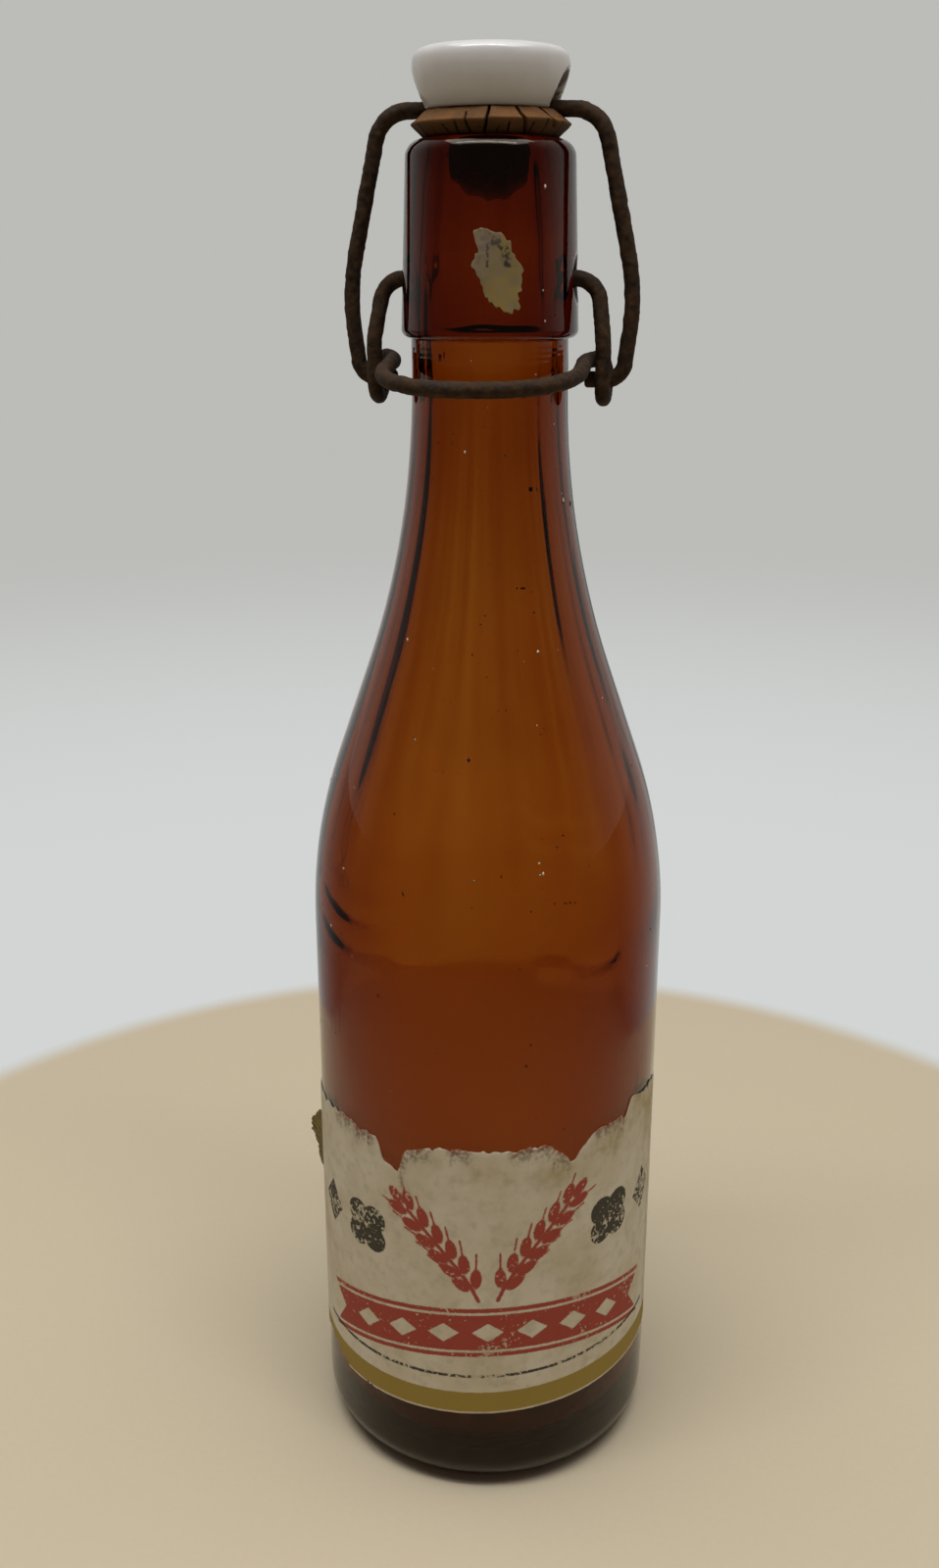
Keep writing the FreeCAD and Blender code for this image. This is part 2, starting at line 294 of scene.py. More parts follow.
def lumps(points, grain, seed):
    """Smooth noise from -1 to 1: random heights on a lattice, blended between a cell's eight corners."""
    cells = 48
    heights = np.random.default_rng(seed).uniform(-1, 1, (cells, cells, cells))
    cell = np.floor(points / grain).astype(int)
    share = points / grain - cell
    share = share * share * (3 - 2 * share)
    total = np.zeros(points.shape[:-1])
    for corner in itertools.product((0, 1), repeat=3):
        weight = np.prod(np.where(corner, share, 1 - share), axis=-1)
        along, across, up = np.moveaxis((cell + corner) % cells, -1, 0)
        total += weight * heights[along, across, up]
    return total


def on_cylinder(radius, turn, height):
    """Points at a radius, a turn about Z from the front, rightwards, and a height."""
    radius, turn, height = np.broadcast_arrays(radius, turn, height)
    return np.stack([radius * np.sin(turn), -radius * np.cos(turn), height], axis=-1)


def lengths_along(line):
    """How far along a line of points each of them lies."""
    return np.append(0, np.cumsum(np.linalg.norm(np.diff(line, axis=0), axis=1)))


def points_along(line, places):
    """Points at given distances along a line of points."""
    length = lengths_along(line)
    return np.stack([np.interp(places, length, column) for column in line.T], axis=-1)


def grid_faces(index):
    """Quads between the neighbours in a grid of point numbers."""
    quads = np.stack([index[:-1, :-1], index[:-1, 1:], index[1:, 1:], index[1:, :-1]], axis=-1)
    return quads.reshape(-1, 4)


def ring_mesh(name, points, poles=None):
    """A closed surface of rings: quads between neighbours, each ring joined to itself, and a fan of
    triangles to each pole, or with no poles the last ring joined to the first."""
    rings, columns = points.shape[:2]
    index = np.arange(rings * columns).reshape(rings, columns)
    faces = []
    places = points.reshape(-1, 3)
    if poles is None:
        index = np.vstack([index, index[:1]])
    else:
        places = np.vstack([places, poles])
        low, high = rings * columns, rings * columns + 1
        first, last = index[0], index[-1]
        low_fan = np.stack([np.full(columns, low), np.roll(first, -1), first], axis=-1)
        high_fan = np.stack([np.full(columns, high), last, np.roll(last, -1)], axis=-1)
        faces = low_fan.tolist() + high_fan.tolist()
    index = np.hstack([index, index[:, :1]])
    mesh = bpy.data.meshes.new(name)
    mesh.from_pydata(places.tolist(), [], faces + grid_faces(index).tolist())
    return mesh


def sheet_mesh(name, front, back):
    """A closed thin sheet: quads on the front, the same turned round on the back, and a strip of quads
    along the border between the two."""
    rows, columns = front.shape[:2]
    offset = rows * columns
    index = np.arange(offset).reshape(rows, columns)
    quads = grid_faces(index)
    border = np.concatenate([index[0, :-1], index[:-1, -1], index[-1, :0:-1], index[:0:-1, 0]])
    onward = np.roll(border, -1)
    strip = np.stack([border, border + offset, onward + offset, onward], axis=-1)
    faces = np.vstack([quads, quads[:, ::-1] + offset, strip])
    mesh = bpy.data.meshes.new(name)
    mesh.from_pydata(np.vstack([front.reshape(-1, 3), back.reshape(-1, 3)]).tolist(), [], faces.tolist())
    return mesh


def mark(mesh, name, values):
    """Keeps a number for each point of a mesh, which its material reads by name."""
    mesh.attributes.new(name, "FLOAT", "POINT").data.foreach_set("value", values.ravel().astype(np.float32))


def place(mesh, material, body, slot, *nodes):
    """Puts a finished mesh into the scene, with its material, its body and the CAD nodes it stands for."""
    mesh.materials.append(material)
    mesh.shade_smooth()
    piece = bpy.data.objects.new(mesh.name, mesh)
    bpy.context.scene.collection.objects.link(piece)
    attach(piece, body)
    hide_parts(*nodes)


def add(tree, kind, inputs=None, **settings):
    """Adds a node with its settings, and gives each named input its value or its link. A node that is
    given as a value is linked by the first of its outputs that is in use."""
    made = tree.nodes.new("ShaderNode" + kind)
    for name, value in settings.items():
        setattr(made, name, value)
    for name, value in (inputs or {}).items():
        if isinstance(value, bpy.types.Node):
            value = next(socket for socket in value.outputs if socket.enabled)
        if isinstance(value, bpy.types.NodeSocket):
            tree.links.new(value, made.inputs[name])
        else:
            made.inputs[name].default_value = value
    return made


def empty_material(name):
    """A new material whose node tree holds nothing yet."""
    material = bpy.data.materials.new(name)
    material.use_nodes = True
    material.node_tree.nodes.clear()
    return material


def amber_glass(colours):
    """Bottle glass that takes its brown from its own thickness, so thick places go dark and red."""
    material = empty_material("amber_bottle_glass")
    tree = material.node_tree
    place_on = add(tree, "TexCoord").outputs["Object"]
    # Ripples about 12 mm long, left by the mould
    ripple = add(tree, "TexNoise", {"Vector": place_on, "Scale": 0.08 / MM, "Detail": 1})
    rippled = add(tree, "Bump", {"Height": ripple, "Strength": 0.2, "Distance": 0.3 * MM})
    shader = add(tree, "BsdfPrincipled", {
        "Base Color": linear("#ffffff"), "Roughness": 0.02, "IOR": 1.52, "Transmission Weight": 1.0,
        "Specular Tint": linear("#bcaa99"), "Normal": rippled})
    # Light falls to a third in 1 mm for blue, 2 mm for green and 4.4 mm for red
    body = add(tree, "VolumeAbsorption", {"Color": tuple(colours.glass), "Density": 1.125 / MM})
    add(tree, "OutputMaterial", {"Surface": shader, "Volume": body})
    return material


def glazed_porcelain(colours):
    """White porcelain under a clear glaze, with a crazed grey cast, painted shade at its foot by the washer,
    and a brown that is rust washed out of the wire hole and painted shade in its recess and on the plug."""
    material = empty_material("glazed_porcelain")
    tree = material.node_tree
    place_on = add(tree, "TexCoord").outputs["Object"]
    # The grey cast lies in clouds of about 6 mm, the rust in blotches of about 2 mm
    cloud = add(tree, "TexNoise", {"Vector": place_on, "Scale": 0.16 / MM, "Detail": 4})
    blotch = add(tree, "TexNoise", {"Vector": place_on, "Scale": 0.45 / MM, "Detail": 5})
    cast = add(tree, "MapRange", {"Value": cloud, "From Min": 0.35, "From Max": 0.75, "To Max": 0.5})
    grey = dimmed(colours.porcelain, 0.78, 0.78, 0.78)
    clean = add(tree, "Mix", {0: cast, 6: tuple(colours.porcelain), 7: grey}, data_type="RGBA")
    # Painted shade: the foot of the head is darkened where the washer shades it
    painted_foot_shade = add(tree, "Attribute", attribute_name="painted_foot_shade").outputs["Fac"]
    body = add(tree, "Mix", {0: painted_foot_shade, 6: clean, 7: linear("#5c5044")}, data_type="RGBA")
    # The brown is rust washed out of the wire hole, and painted shade in the wire's recess and down the plug
    stain = add(tree, "Attribute", attribute_name="stain").outputs["Fac"]
    stained = add(tree, "Math", {0: stain, 1: blotch, 2: -0.22}, operation="MULTIPLY_ADD")
    rust_and_shade = add(tree, "MapRange", {"Value": stained, "From Min": 0, "From Max": 0.3, "To Max": 0.95})
    colour = add(tree, "Mix", {0: rust_and_shade, 6: body, 7: linear("#4a3220")}, data_type="RGBA")
    dull = add(tree, "MapRange", {"Value": rust_and_shade, "From Max": 0.9, "To Min": 0.07, "To Max": 0.6})
    dents = add(tree, "Bump", {"Height": cloud, "Strength": 0.2, "Distance": 0.06 * MM})
    shader = add(tree, "BsdfPrincipled", {
        "Base Color": colour, "Roughness": dull, "IOR": 1.5, "Normal": dents})
    add(tree, "OutputMaterial", {"Surface": shader})
    return material


def perished_rubber(colours):
    """Old rubber gone hard and tan: chalky and faintly mottled, with painted shade down in its cracks
    and on its lower bevel.
    """
    material = empty_material("perished_rubber")
    tree = material.node_tree
    place_on = add(tree, "TexCoord").outputs["Object"]
    # Mottling about 4 mm across, and grains of chalk about 0.5 mm across
    mottle = add(tree, "TexNoise", {"Vector": place_on, "Scale": 0.26 / MM, "Detail": 5})
    grain = add(tree, "TexNoise", {"Vector": place_on, "Scale": 2.2 / MM, "Detail": 3})
    patch = add(tree, "MapRange", {"Value": mottle, "From Min": 0.3, "From Max": 0.62})
    dark = dimmed(colours.rubber, 0.66, 0.66, 0.66)
    body = add(tree, "Mix", {0: patch, 6: dark, 7: tuple(colours.rubber)}, data_type="RGBA")
    speck = add(tree, "MapRange", {"Value": grain, "From Min": 0.6, "From Max": 0.75, "To Max": 0.35})
    chalk = add(tree, "Mix", {0: speck, 6: body, 7: linear("#b08a5e")}, data_type="RGBA")
    # Painted shade: near black inside the cracks and on the downward-facing lower bevel
    crack_and_underside_shade = add(tree, "Attribute", attribute_name="crack_and_underside_shade").outputs["Fac"]
    colour = add(tree, "Mix", {0: crack_and_underside_shade, 6: chalk, 7: linear("#150d08")}, data_type="RGBA")
    skin = add(tree, "Bump", {"Height": mottle, "Strength": 0.5, "Distance": 0.25 * MM})
    rough = add(tree, "Bump", {"Height": grain, "Normal": skin, "Strength": 0.4, "Distance": 0.05 * MM})
    shader = add(tree, "BsdfPrincipled", {
        "Base Color": colour, "Roughness": 0.75, "IOR": 1.52, "Specular IOR Level": 0.3, "Normal": rough})
    add(tree, "OutputMaterial", {"Surface": shader})
    return material


def rusted_steel(colours):
    """Drawn steel wire under dark scale and fine rust: rough, nearly black, browner where it crusts."""
    material = empty_material("rusted_steel_wire")
    tree = material.node_tree
    place_on = add(tree, "TexCoord").outputs["Object"]
    # Crusts about 1.4 mm across, and grit about 0.3 mm across
    crust = add(tree, "TexNoise", {"Vector": place_on, "Scale": 0.7 / MM, "Detail": 6, "Roughness": 0.6})
    grit = add(tree, "TexNoise", {"Vector": place_on, "Scale": 3 / MM, "Detail": 3})
    rusty = add(tree, "MapRange", {"Value": crust, "From Min": 0.4, "From Max": 0.66})
    body = add(tree, "Mix", {0: rusty, 6: tuple(colours.steel), 7: tuple(colours.rust)}, data_type="RGBA")
    pale = add(tree, "MapRange", {"Value": grit, "From Min": 0.6, "From Max": 0.75, "To Max": 0.4})
    colour = add(tree, "Mix", {0: pale, 6: body, 7: linear("#5a4a3a")}, data_type="RGBA")
    bare = add(tree, "MapRange", {
        "Value": crust, "From Min": 0.3, "From Max": 0.4, "To Min": 0.4, "To Max": 0})
    dull = add(tree, "MapRange", {
        "Value": crust, "From Min": 0.32, "From Max": 0.6, "To Min": 0.6, "To Max": 0.9})
    scale = add(tree, "Bump", {"Height": crust, "Strength": 0.6, "Distance": 0.15 * MM})
    rough = add(tree, "Bump", {"Height": grit, "Normal": scale, "Strength": 0.5, "Distance": 0.05 * MM})
    shader = add(tree, "BsdfPrincipled", {
        "Base Color": colour, "Metallic": bare, "Roughness": dull,
        "Specular IOR Level": 0.2, "Normal": rough})
    add(tree, "OutputMaterial", {"Surface": shader})
    return material


def aged_paper(name, plain, colours):
    """Old label paper: matt, browned in clouds, fluffed grey where the tear split it, with flat inks.
    The edges of the inks are read as distances in millimetres kept on the points, and stains and split
    fibres as shares."""
    material = empty_material(name)
    tree = material.node_tree
    place_on = add(tree, "TexCoord").outputs["Object"]
    # Clouds about 11 mm across, spots of 2.4 mm, crumbs of 0.8 mm and fibres of 0.5 mm
    cloud = add(tree, "TexNoise", {"Vector": place_on, "Scale": 0.09 / MM, "Detail": 5, "Roughness": 0.6})
    spots = add(tree, "TexNoise", {"Vector": place_on, "Scale": 0.42 / MM, "Detail": 4})
    crumbs = add(tree, "TexNoise", {"Vector": place_on, "Scale": 1.3 / MM, "Detail": 2})
    fibre = add(tree, "TexNoise", {"Vector": place_on, "Scale": 2 / MM, "Detail": 3})
    browned = add(tree, "MapRange", {"Value": cloud, "From Min": 0.38, "From Max": 0.7})
    brown = dimmed(plain, 0.82, 0.78, 0.68)
    paper = add(tree, "Mix", {0: browned, 6: tuple(plain), 7: brown}, data_type="RGBA")
    foxed = add(tree, "MapRange", {"Value": spots, "From Min": 0.5, "From Max": 0.72, "To Max": 0.45})
    grey = dimmed(plain, 0.6, 0.6, 0.55)
    spotted = add(tree, "Mix", {0: foxed, 6: paper, 7: grey}, data_type="RGBA")
    stain = add(tree, "Attribute", attribute_name="stain").outputs["Fac"]
    blotch = add(tree, "MapRange", {
        "Value": spots, "From Min": 0.35, "From Max": 0.65, "To Min": 0.35, "To Max": 0.75})
    stained = add(tree, "Math", {0: stain, 1: blotch}, operation="MULTIPLY")
    colour = add(tree, "Mix", {0: stained, 6: spotted, 7: tuple(colours.ochre)}, data_type="RGBA")
    # Ink sits on a rough sheet: its edge wavers by 0.07 mm, and it wears off in specks, black the most
    waver = add(tree, "MapRange", {
        "Value": fibre, "From Min": 0.3, "From Max": 0.7, "To Min": -0.07, "To Max": 0.07})
    worn = add(tree, "Math", {0: cloud, 1: crumbs}, operation="ADD")
    inks = (("ochre", colours.ochre, 1.36, 0.7), ("red", colours.red_ink, 1.26, 0.25),
            ("black", colours.black_ink, 1.12, 0.1))
    # On the label the black mark also holds painted shadow lines along the lifted edge and the creases
    for ink, tint, flaked, left in inks:
        edge = add(tree, "Attribute", attribute_name=ink).outputs["Fac"]
        wavered = add(tree, "Math", {0: edge, 1: waver}, operation="ADD")
        inside = add(tree, "MapRange", {
            "Value": wavered, "From Min": -0.1, "From Max": 0.1, "To Min": 1, "To Max": 0})
        kept = add(tree, "MapRange", {
            "Value": worn, "From Min": flaked - 0.1, "From Max": flaked, "To Min": 0.96, "To Max": left})
        amount = add(tree, "Math", {0: inside, 1: kept}, operation="MULTIPLY")
        colour = add(tree, "Mix", {0: amount, 6: colour, 7: tuple(tint)}, data_type="RGBA")
    # Where the tear split the sheet, thin grey fibres are left, with dirt caught in them
    fringe = add(tree, "Attribute", attribute_name="fringe").outputs["Fac"]
    tufts = add(tree, "Math", {0: spots, 1: crumbs}, operation="ADD")
    tuft = add(tree, "MapRange", {"Value": tufts, "From Min": 0.75, "From Max": 1.2, "To Min": 0.1})
    split = add(tree, "Math", {0: fringe, 1: tuft}, operation="MULTIPLY")
    fluffed = add(tree, "Mix", {0: split, 6: colour, 7: linear("#8d7c6c")}, data_type="RGBA")
    dirt = add(tree, "MapRange", {"Value": crumbs, "From Min": 0.48, "From Max": 0.68, "To Max": 0.55})
    caught = add(tree, "Math", {0: dirt, 1: fringe}, operation="MULTIPLY")
    dirty = add(tree, "Mix", {0: caught, 6: fluffed, 7: linear("#51463f")}, data_type="RGBA")
    # At the very edge the film is so thin that the amber glass shows through it
    film = add(tree, "Attribute", attribute_name="film").outputs["Fac"]
    thin = add(tree, "Math", {0: film, 1: tuft}, operation="MULTIPLY")
    amber = add(tree, "Mix", {0: thin, 6: dirty, 7: linear("#8a4c22")}, data_type="RGBA")
    nap = add(tree, "Bump", {"Height": fibre, "Strength": 0.4, "Distance": 0.05 * MM})
    cockle = add(tree, "Bump", {"Height": cloud, "Normal": nap, "Strength": 0.35, "Distance": 0.3 * MM})
    shader = add(tree, "BsdfPrincipled", {
        "Base Color": amber, "Roughness": 0.85, "IOR": 1.45, "Normal": cockle})
    add(tree, "OutputMaterial", {"Surface": shader})
    return material


def settled_dust(colours):
    """Grains of dust and grime on the glass, pale and matt here, dark and greasy there."""
    material = empty_material("settled_dust")
    tree = material.node_tree
    place_on = add(tree, "TexCoord").outputs["Object"]
    # Pale and dark change over about 3 mm
    patch = add(tree, "TexNoise", {"Vector": place_on, "Scale": 0.3 / MM, "Detail": 2})
    shade = add(tree, "MapRange", {"Value": patch, "From Min": 0.5, "From Max": 0.56})
    colour = add(tree, "Mix", {0: shade, 6: linear("#1d140e"), 7: tuple(colours.paper)}, data_type="RGBA")
    shader = add(tree, "BsdfPrincipled", {"Base Color": colour, "Roughness": 0.8})
    add(tree, "OutputMaterial", {"Surface": shader})
    return material


def bottle_levels(sizes):
    """Heights that the pieces share: top and foot of the lip ring, pins, eyes, washer, head and bar."""
    neck_start = sizes.body_height + sizes.shoulder_height
    lip_foot = neck_start + NECK_HEIGHT
    lip_top = lip_foot + sizes.lip_height
    pin = lip_top - DIMPLE_DROP
    washer = lip_top + SEAT_CLEARANCE
    head = washer + WASHER_THICKNESS
    return {"neck_start": neck_start, "lip_foot": lip_foot, "lip_top": lip_top, "pin": pin,
            "eye": pin - EYE_DROP, "washer": washer, "head": head, "bar": head + BAR_RISE}


def lip_radius_at(height, levels):
    """Radius of the lip ring's side, which tapers evenly from its foot to its crown."""
    foot = levels["lip_foot"] + LIP_FOOT_ROUND
    crown = levels["lip_top"] - LIP_CROWN_ROUND
    share = (height - foot) / (crown - foot)
    return LIP_FOOT_RADIUS + share * (LIP_CROWN_RADIUS - LIP_FOOT_RADIUS)


def glass_outline(sizes, levels):
    """Outer and inner outline of the glass: arcs and straight runs that meet without a break, from the
    punt up over the lip, and from the mouth down to the floor inside."""
    body, wall = sizes.body_radius, sizes.wall
    start_radius = body - SHOULDER_ROUND * (1 - math.cos(SHOULDER_SLOPE))
    start_height = sizes.body_height + SHOULDER_ROUND * math.sin(SHOULDER_SLOPE)
    neck_start = levels["neck_start"]
    overshoot = (neck_start - start_height) * math.tan(SHOULDER_SLOPE)
    neck_round = (overshoot - start_radius + sizes.neck_radius) / (1 / math.cos(SHOULDER_SLOPE) - 1)
    neck_centre = np.array([sizes.neck_radius + neck_round, neck_start])
    shoulder_centre = np.array([body - SHOULDER_ROUND, sizes.body_height])
    slope_out = np.array([math.cos(SHOULDER_SLOPE), math.sin(SHOULDER_SLOPE)])
    half_turn = math.pi + SHOULDER_SLOPE
    lip_foot, lip_top = levels["lip_foot"], levels["lip_top"]
    ring_outer = body - HEEL_ROUND
    ring_inner = ring_outer - STANDING_RING
    foot_centre = (LIP_FOOT_RADIUS - LIP_FOOT_ROUND, lip_foot + LIP_FOOT_ROUND)
    crown_centre = (LIP_CROWN_RADIUS - LIP_CROWN_ROUND, lip_top - LIP_CROWN_ROUND)
    mouth_centre = (BORE_RADIUS + MOUTH_ROUND, lip_top - MOUTH_ROUND)
    bore_end = lip_top - BORE_LENGTH
    inner_radius = body - wall
    floor_radius = inner_radius - INNER_HEEL
    outer = np.vstack([
        dome((ring_inner, 0), PUNT, 10)[:0:-1],
        run((ring_inner, 0), (ring_outer, 0), 5),
        arc((ring_outer, HEEL_ROUND), HEEL_ROUND, -QUARTER, 0, 16),
        run((body, HEEL_ROUND), (body, sizes.body_height), 36),
        arc(shoulder_centre, SHOULDER_ROUND, 0, SHOULDER_SLOPE, 18),
        run(shoulder_centre + SHOULDER_ROUND * slope_out, neck_centre - neck_round * slope_out, 20),
        arc(neck_centre, neck_round, half_turn, math.pi, 14),
        run((sizes.neck_radius, neck_start), (sizes.neck_radius, lip_foot - LINED_NECK), 4),
        run((sizes.neck_radius, lip_foot - LINED_NECK), (sizes.neck_radius, lip_foot), 18),
        run((sizes.neck_radius, lip_foot), (foot_centre[0], lip_foot), 3),
        arc(foot_centre, LIP_FOOT_ROUND, -QUARTER, 0, 8),
        run((LIP_FOOT_RADIUS, foot_centre[1]), (LIP_CROWN_RADIUS, crown_centre[1]), 58),
        arc(crown_centre, LIP_CROWN_ROUND, 0, QUARTER, 12),
        run((crown_centre[0], lip_top), (mouth_centre[0], lip_top), 4),
    ])
    inner = np.vstack([
        arc(mouth_centre, MOUTH_ROUND, QUARTER, math.pi, 8),
        run((BORE_RADIUS, mouth_centre[1]), (BORE_RADIUS, bore_end), 14),
        run((BORE_RADIUS, bore_end), (sizes.neck_radius - wall, bore_end - BORE_FLARE), 6),
        run((sizes.neck_radius - wall, bore_end - BORE_FLARE), (sizes.neck_radius - wall, neck_start), 3),
        arc(neck_centre, neck_round + wall, math.pi, half_turn, 14),
        run(neck_centre - (neck_round + wall) * slope_out,
            shoulder_centre + (SHOULDER_ROUND - wall) * slope_out, 24),
        arc(shoulder_centre, SHOULDER_ROUND - wall, SHOULDER_SLOPE, 0, 34),
        run((inner_radius, sizes.body_height), (inner_radius, 0.8 * sizes.body_height), 22),
        run((inner_radius, 0.8 * sizes.body_height), (inner_radius, BASE + INNER_HEEL), 30),
        arc((floor_radius, BASE + INNER_HEEL), INNER_HEEL, 0, -QUARTER, 12),
        dome((floor_radius, BASE), PUNT + BASE, 10),
    ])
    return outer, inner


def dimpled(radius, turn, height, levels):
    """Radius of the lip ring hollowed by a ball on each side: where a ray from the axis meets the ball,
    the ball's nearer face, joined softly to the ring."""
    ball = (DIMPLE_RADIUS ** 2 + DIMPLE_DEPTH ** 2) / (2 * DIMPLE_DEPTH)
    offset = lip_radius_at(levels["pin"], levels) - DIMPLE_DEPTH + ball
    depth = ball ** 2 - (height - levels["pin"]) ** 2 - (offset * np.cos(turn)) ** 2
    face = offset * np.abs(np.sin(turn)) - np.sign(depth) * np.sqrt(np.abs(depth))
    return soft_least(radius, face, DIMPLE_ROUND)


# Waves of the inner wall: depth in mm, number round the bottle, offset, and twist for each mm up
SLOW_WAVES = ((0.08, 3, 0.4, 0.012), (0.05, 5, -1.1, 0.02))
STREAKS = ((0.08, 9, 0.3, 0.004), (0.12, 16, 2.1, -0.006), (0.06, 27, 0.9, 0.011), (0.03, 41, 0, -0.009))
BORE_STREAKS = ((0.1, 11, 0.6, 0), (0.07, 19, -0.4, 0))
# Curved ripples on it: turn from the label's middle, half width, height of their foot and depth in mm
RIPPLES = ((-0.9, 0.32, 123.5, 0.2), (2.6, 0.5, 123, 0.1))
# The fold in it: turn from the label's middle, height and half width in mm, and slope
FOLD = (0.68, 116.5, 4.5, 0.08)
# Blisters on it: turn from the label's middle, height, reach and depth in mm
BLISTERS = (
    (-0.5, 118, 2.4, 0.12), (-0.43, 119.5, 2.2, 0.1), (0.34, 119, 2, -0.1), (0.41, 121, 1.8, 0.1),
    (1.5, 115, 4, 0.1), (-1.7, 121, 3, -0.1), (2.4, 117, 4, 0.1), (-2.6, 120, 5, 0.12),
)


def waves(turn, climb, table):
    """The sum of upright sine waves round the bottle, which twist as they climb."""
    return sum(depth * np.sin(count * turn + offset + twist * climb) for depth, count, offset, twist in table)


def inner_wander(turn, height):
    """How far the blown inner wall strays from its outline, in millimetres: slow waves round the body,
    upright streaks in shoulder and neck, curved ripples, a fold and round blisters where shoulder and body
    meet, and a wall that thins into the shoulder and again at the foot of the lip."""
    climb = height / MM
    facing = turn - LABEL_TURN
    clear_of_base = smooth_step(climb, 16, 40)
    stray = waves(turn, climb, SLOW_WAVES) * between(climb, 16, 40, 205, 226)
    in_neck = between(climb, 112, 150, 250, 258) * (1 - 0.75 * smooth_step(climb, 195, 230))
    stray = stray + waves(turn, climb, STREAKS) * in_neck
    stray = stray + waves(turn, climb, BORE_STREAKS) * between(climb, 234, 243, 257.5, 260.5)
    for middle, width, foot, depth in RIPPLES:
        aside = facing - middle
        bowl = climb - foot - 24 * aside ** 2
        stray = stray + depth * bell(aside, 0, width) * bell(bowl, 0, 7) * np.sin(bowl * 0.9 + aside)
    middle, level, width, slope = FOLD
    beside = (facing - middle) * INNER_WALL
    sagged = climb - level - 0.06 * beside ** 2
    stray = stray + slope * (5 - sagged) * np.exp(-(beside / width) ** 4) * between(sagged, -1.4, 0.2, 3, 10)
    for middle, level, reach, depth in BLISTERS:
        apart = np.hypot((facing - middle) * INNER_WALL, climb - level)
        stray = stray + depth * bell(apart, 0, reach)
    seat = 118 + 2.5 * np.sin(2 * facing + 0.5) + 1.2 * np.sin(5 * facing)
    shoulder = clear_of_base * (0.3 * smooth_step(climb, seat - 6, seat + 7) + 0.1)
    neck = 2.1 * smooth_step(climb, 222, 232) - 0.5 * smooth_step(climb, 185, 215)
    bore = -1.2 * smooth_step(climb, 240, 257) - 0.8 * smooth_step(climb, 255, 260)
    return stray + shoulder + neck + bore


def glass_mesh(sizes, levels):
    """The bottle turned from its outline, radius and height against a turn about Z. The turns crowd
    towards the sides, where the dimples and the mould seams are. The outer wall dips a little with
    noise and has fine level lines under the lip, and the inner wall strays as blown glass does."""
    outer, inner = glass_outline(sizes, levels)
    neck_start, lip_foot, lip_top = levels["neck_start"], levels["lip_foot"], levels["lip_top"]
    even = np.linspace(-math.pi, math.pi, 240, endpoint=False)
    turn = (even + 0.22 * np.sin(2 * even))[None, :]
    radius, height = outer[:, :1], outer[:, 1:]
    ribbed = between(height, 10 * MM, 16 * MM, 224 * MM, 228 * MM)
    seam = SEAM_RIDGE * ribbed * bell(np.cos(turn) * radius, 0, SEAM_HALF_WIDTH)
    sunk = 0.06 * MM + 0.03 * MM * ribbed * (1 + lumps(on_cylinder(radius, turn, height), 11 * MM, 3))
    below_lip = (lip_foot - height) / MM
    lined = between(below_lip, 0.5, 1.2, 3.2, 4.2) * (bell(turn, 0.95, 0.5) + 0.6 * bell(turn, -1, 0.3))
    lines = 0.05 * MM * lined * np.sin(6.6 * below_lip + 1.5 * turn)
    out_radius = radius + seam + lines - sunk * (radius > PUNT_CENTRE)
    on_lip = (height > lip_foot + LIP_FOOT_ROUND) & (height < lip_top - LIP_CROWN_ROUND)
    out_radius = np.where(on_lip, dimpled(out_radius, turn, height, levels), out_radius)
    in_radius, in_height = inner[:, :1], inner[:, 1:]
    into_lip = smooth_step(in_height, neck_start, lip_foot)
    on_mouth = smooth_step(in_height, lip_top - 5 * MM, lip_top - MOUTH_ROUND)
    in_bore = 0.2 * lumps(on_cylinder(in_radius, turn, in_height), 5 * MM, 5) * into_lip * (1 - on_mouth)
    drawn_out = on_cylinder(in_radius, turn, 0.4 * in_height)
    uneven = 0.09 * lumps(drawn_out, 4 * MM, 7) * smooth_step(in_height, 120 * MM, 140 * MM) * (1 - into_lip)
    wander = inner_wander(turn, in_height) + in_bore + uneven
    points = np.concatenate([
        on_cylinder(out_radius, turn, height),
        on_cylinder(in_radius + wander * MM, turn, in_height),
    ])
    return ring_mesh("bottle_glass", points, [(0, 0, PUNT), (0, 0, PUNT + BASE)])


def speck_mesh(sizes, levels):
    """Grains on the glass: each a flat eight-sided crumb with points up, down, left, right, out and in,
    at a seeded place, the radius read off the glass outline above the base."""
    outer, _ = glass_outline(sizes, levels)
    chance = np.random.default_rng(17)
    count = 260
    height = chance.uniform(9, 256, count) * MM
    turn = chance.uniform(-math.pi, math.pi, count)
    size = np.exp(chance.normal(-1.75, 0.55, count))[:, None] * MM
    long = chance.uniform(0.6, 1.8, count)[:, None]
    radius = np.interp(height, outer[BASE_ROWS:, 1], outer[BASE_ROWS:, 0])
    middle = on_cylinder(radius - 0.07 * MM, turn, height)
    outward = on_cylinder(1, turn, 0)
    aside = np.stack([np.cos(turn), np.sin(turn), 0 * turn], axis=-1) * size
    up = np.array([0, 0, 1]) * size * long
    thick = 0.03 * MM + 0.2 * np.minimum(size, 0.15 * MM)
    corners = np.stack([
        middle + aside, middle + up, middle - aside, middle - up,
        middle + outward * thick, middle - outward * 0.02 * MM], axis=1)
    crumb = np.array([(0, 1, 4), (1, 2, 4), (2, 3, 4), (3, 0, 4), (1, 0, 5), (2, 1, 5), (3, 2, 5), (0, 3, 5)])
    faces = (crumb[None] + corners.shape[1] * np.arange(count)[:, None, None]).reshape(-1, 3)
    mesh = bpy.data.meshes.new("glass_dust")
    mesh.from_pydata(corners.reshape(-1, 3).tolist(), [], faces.tolist())
    return mesh


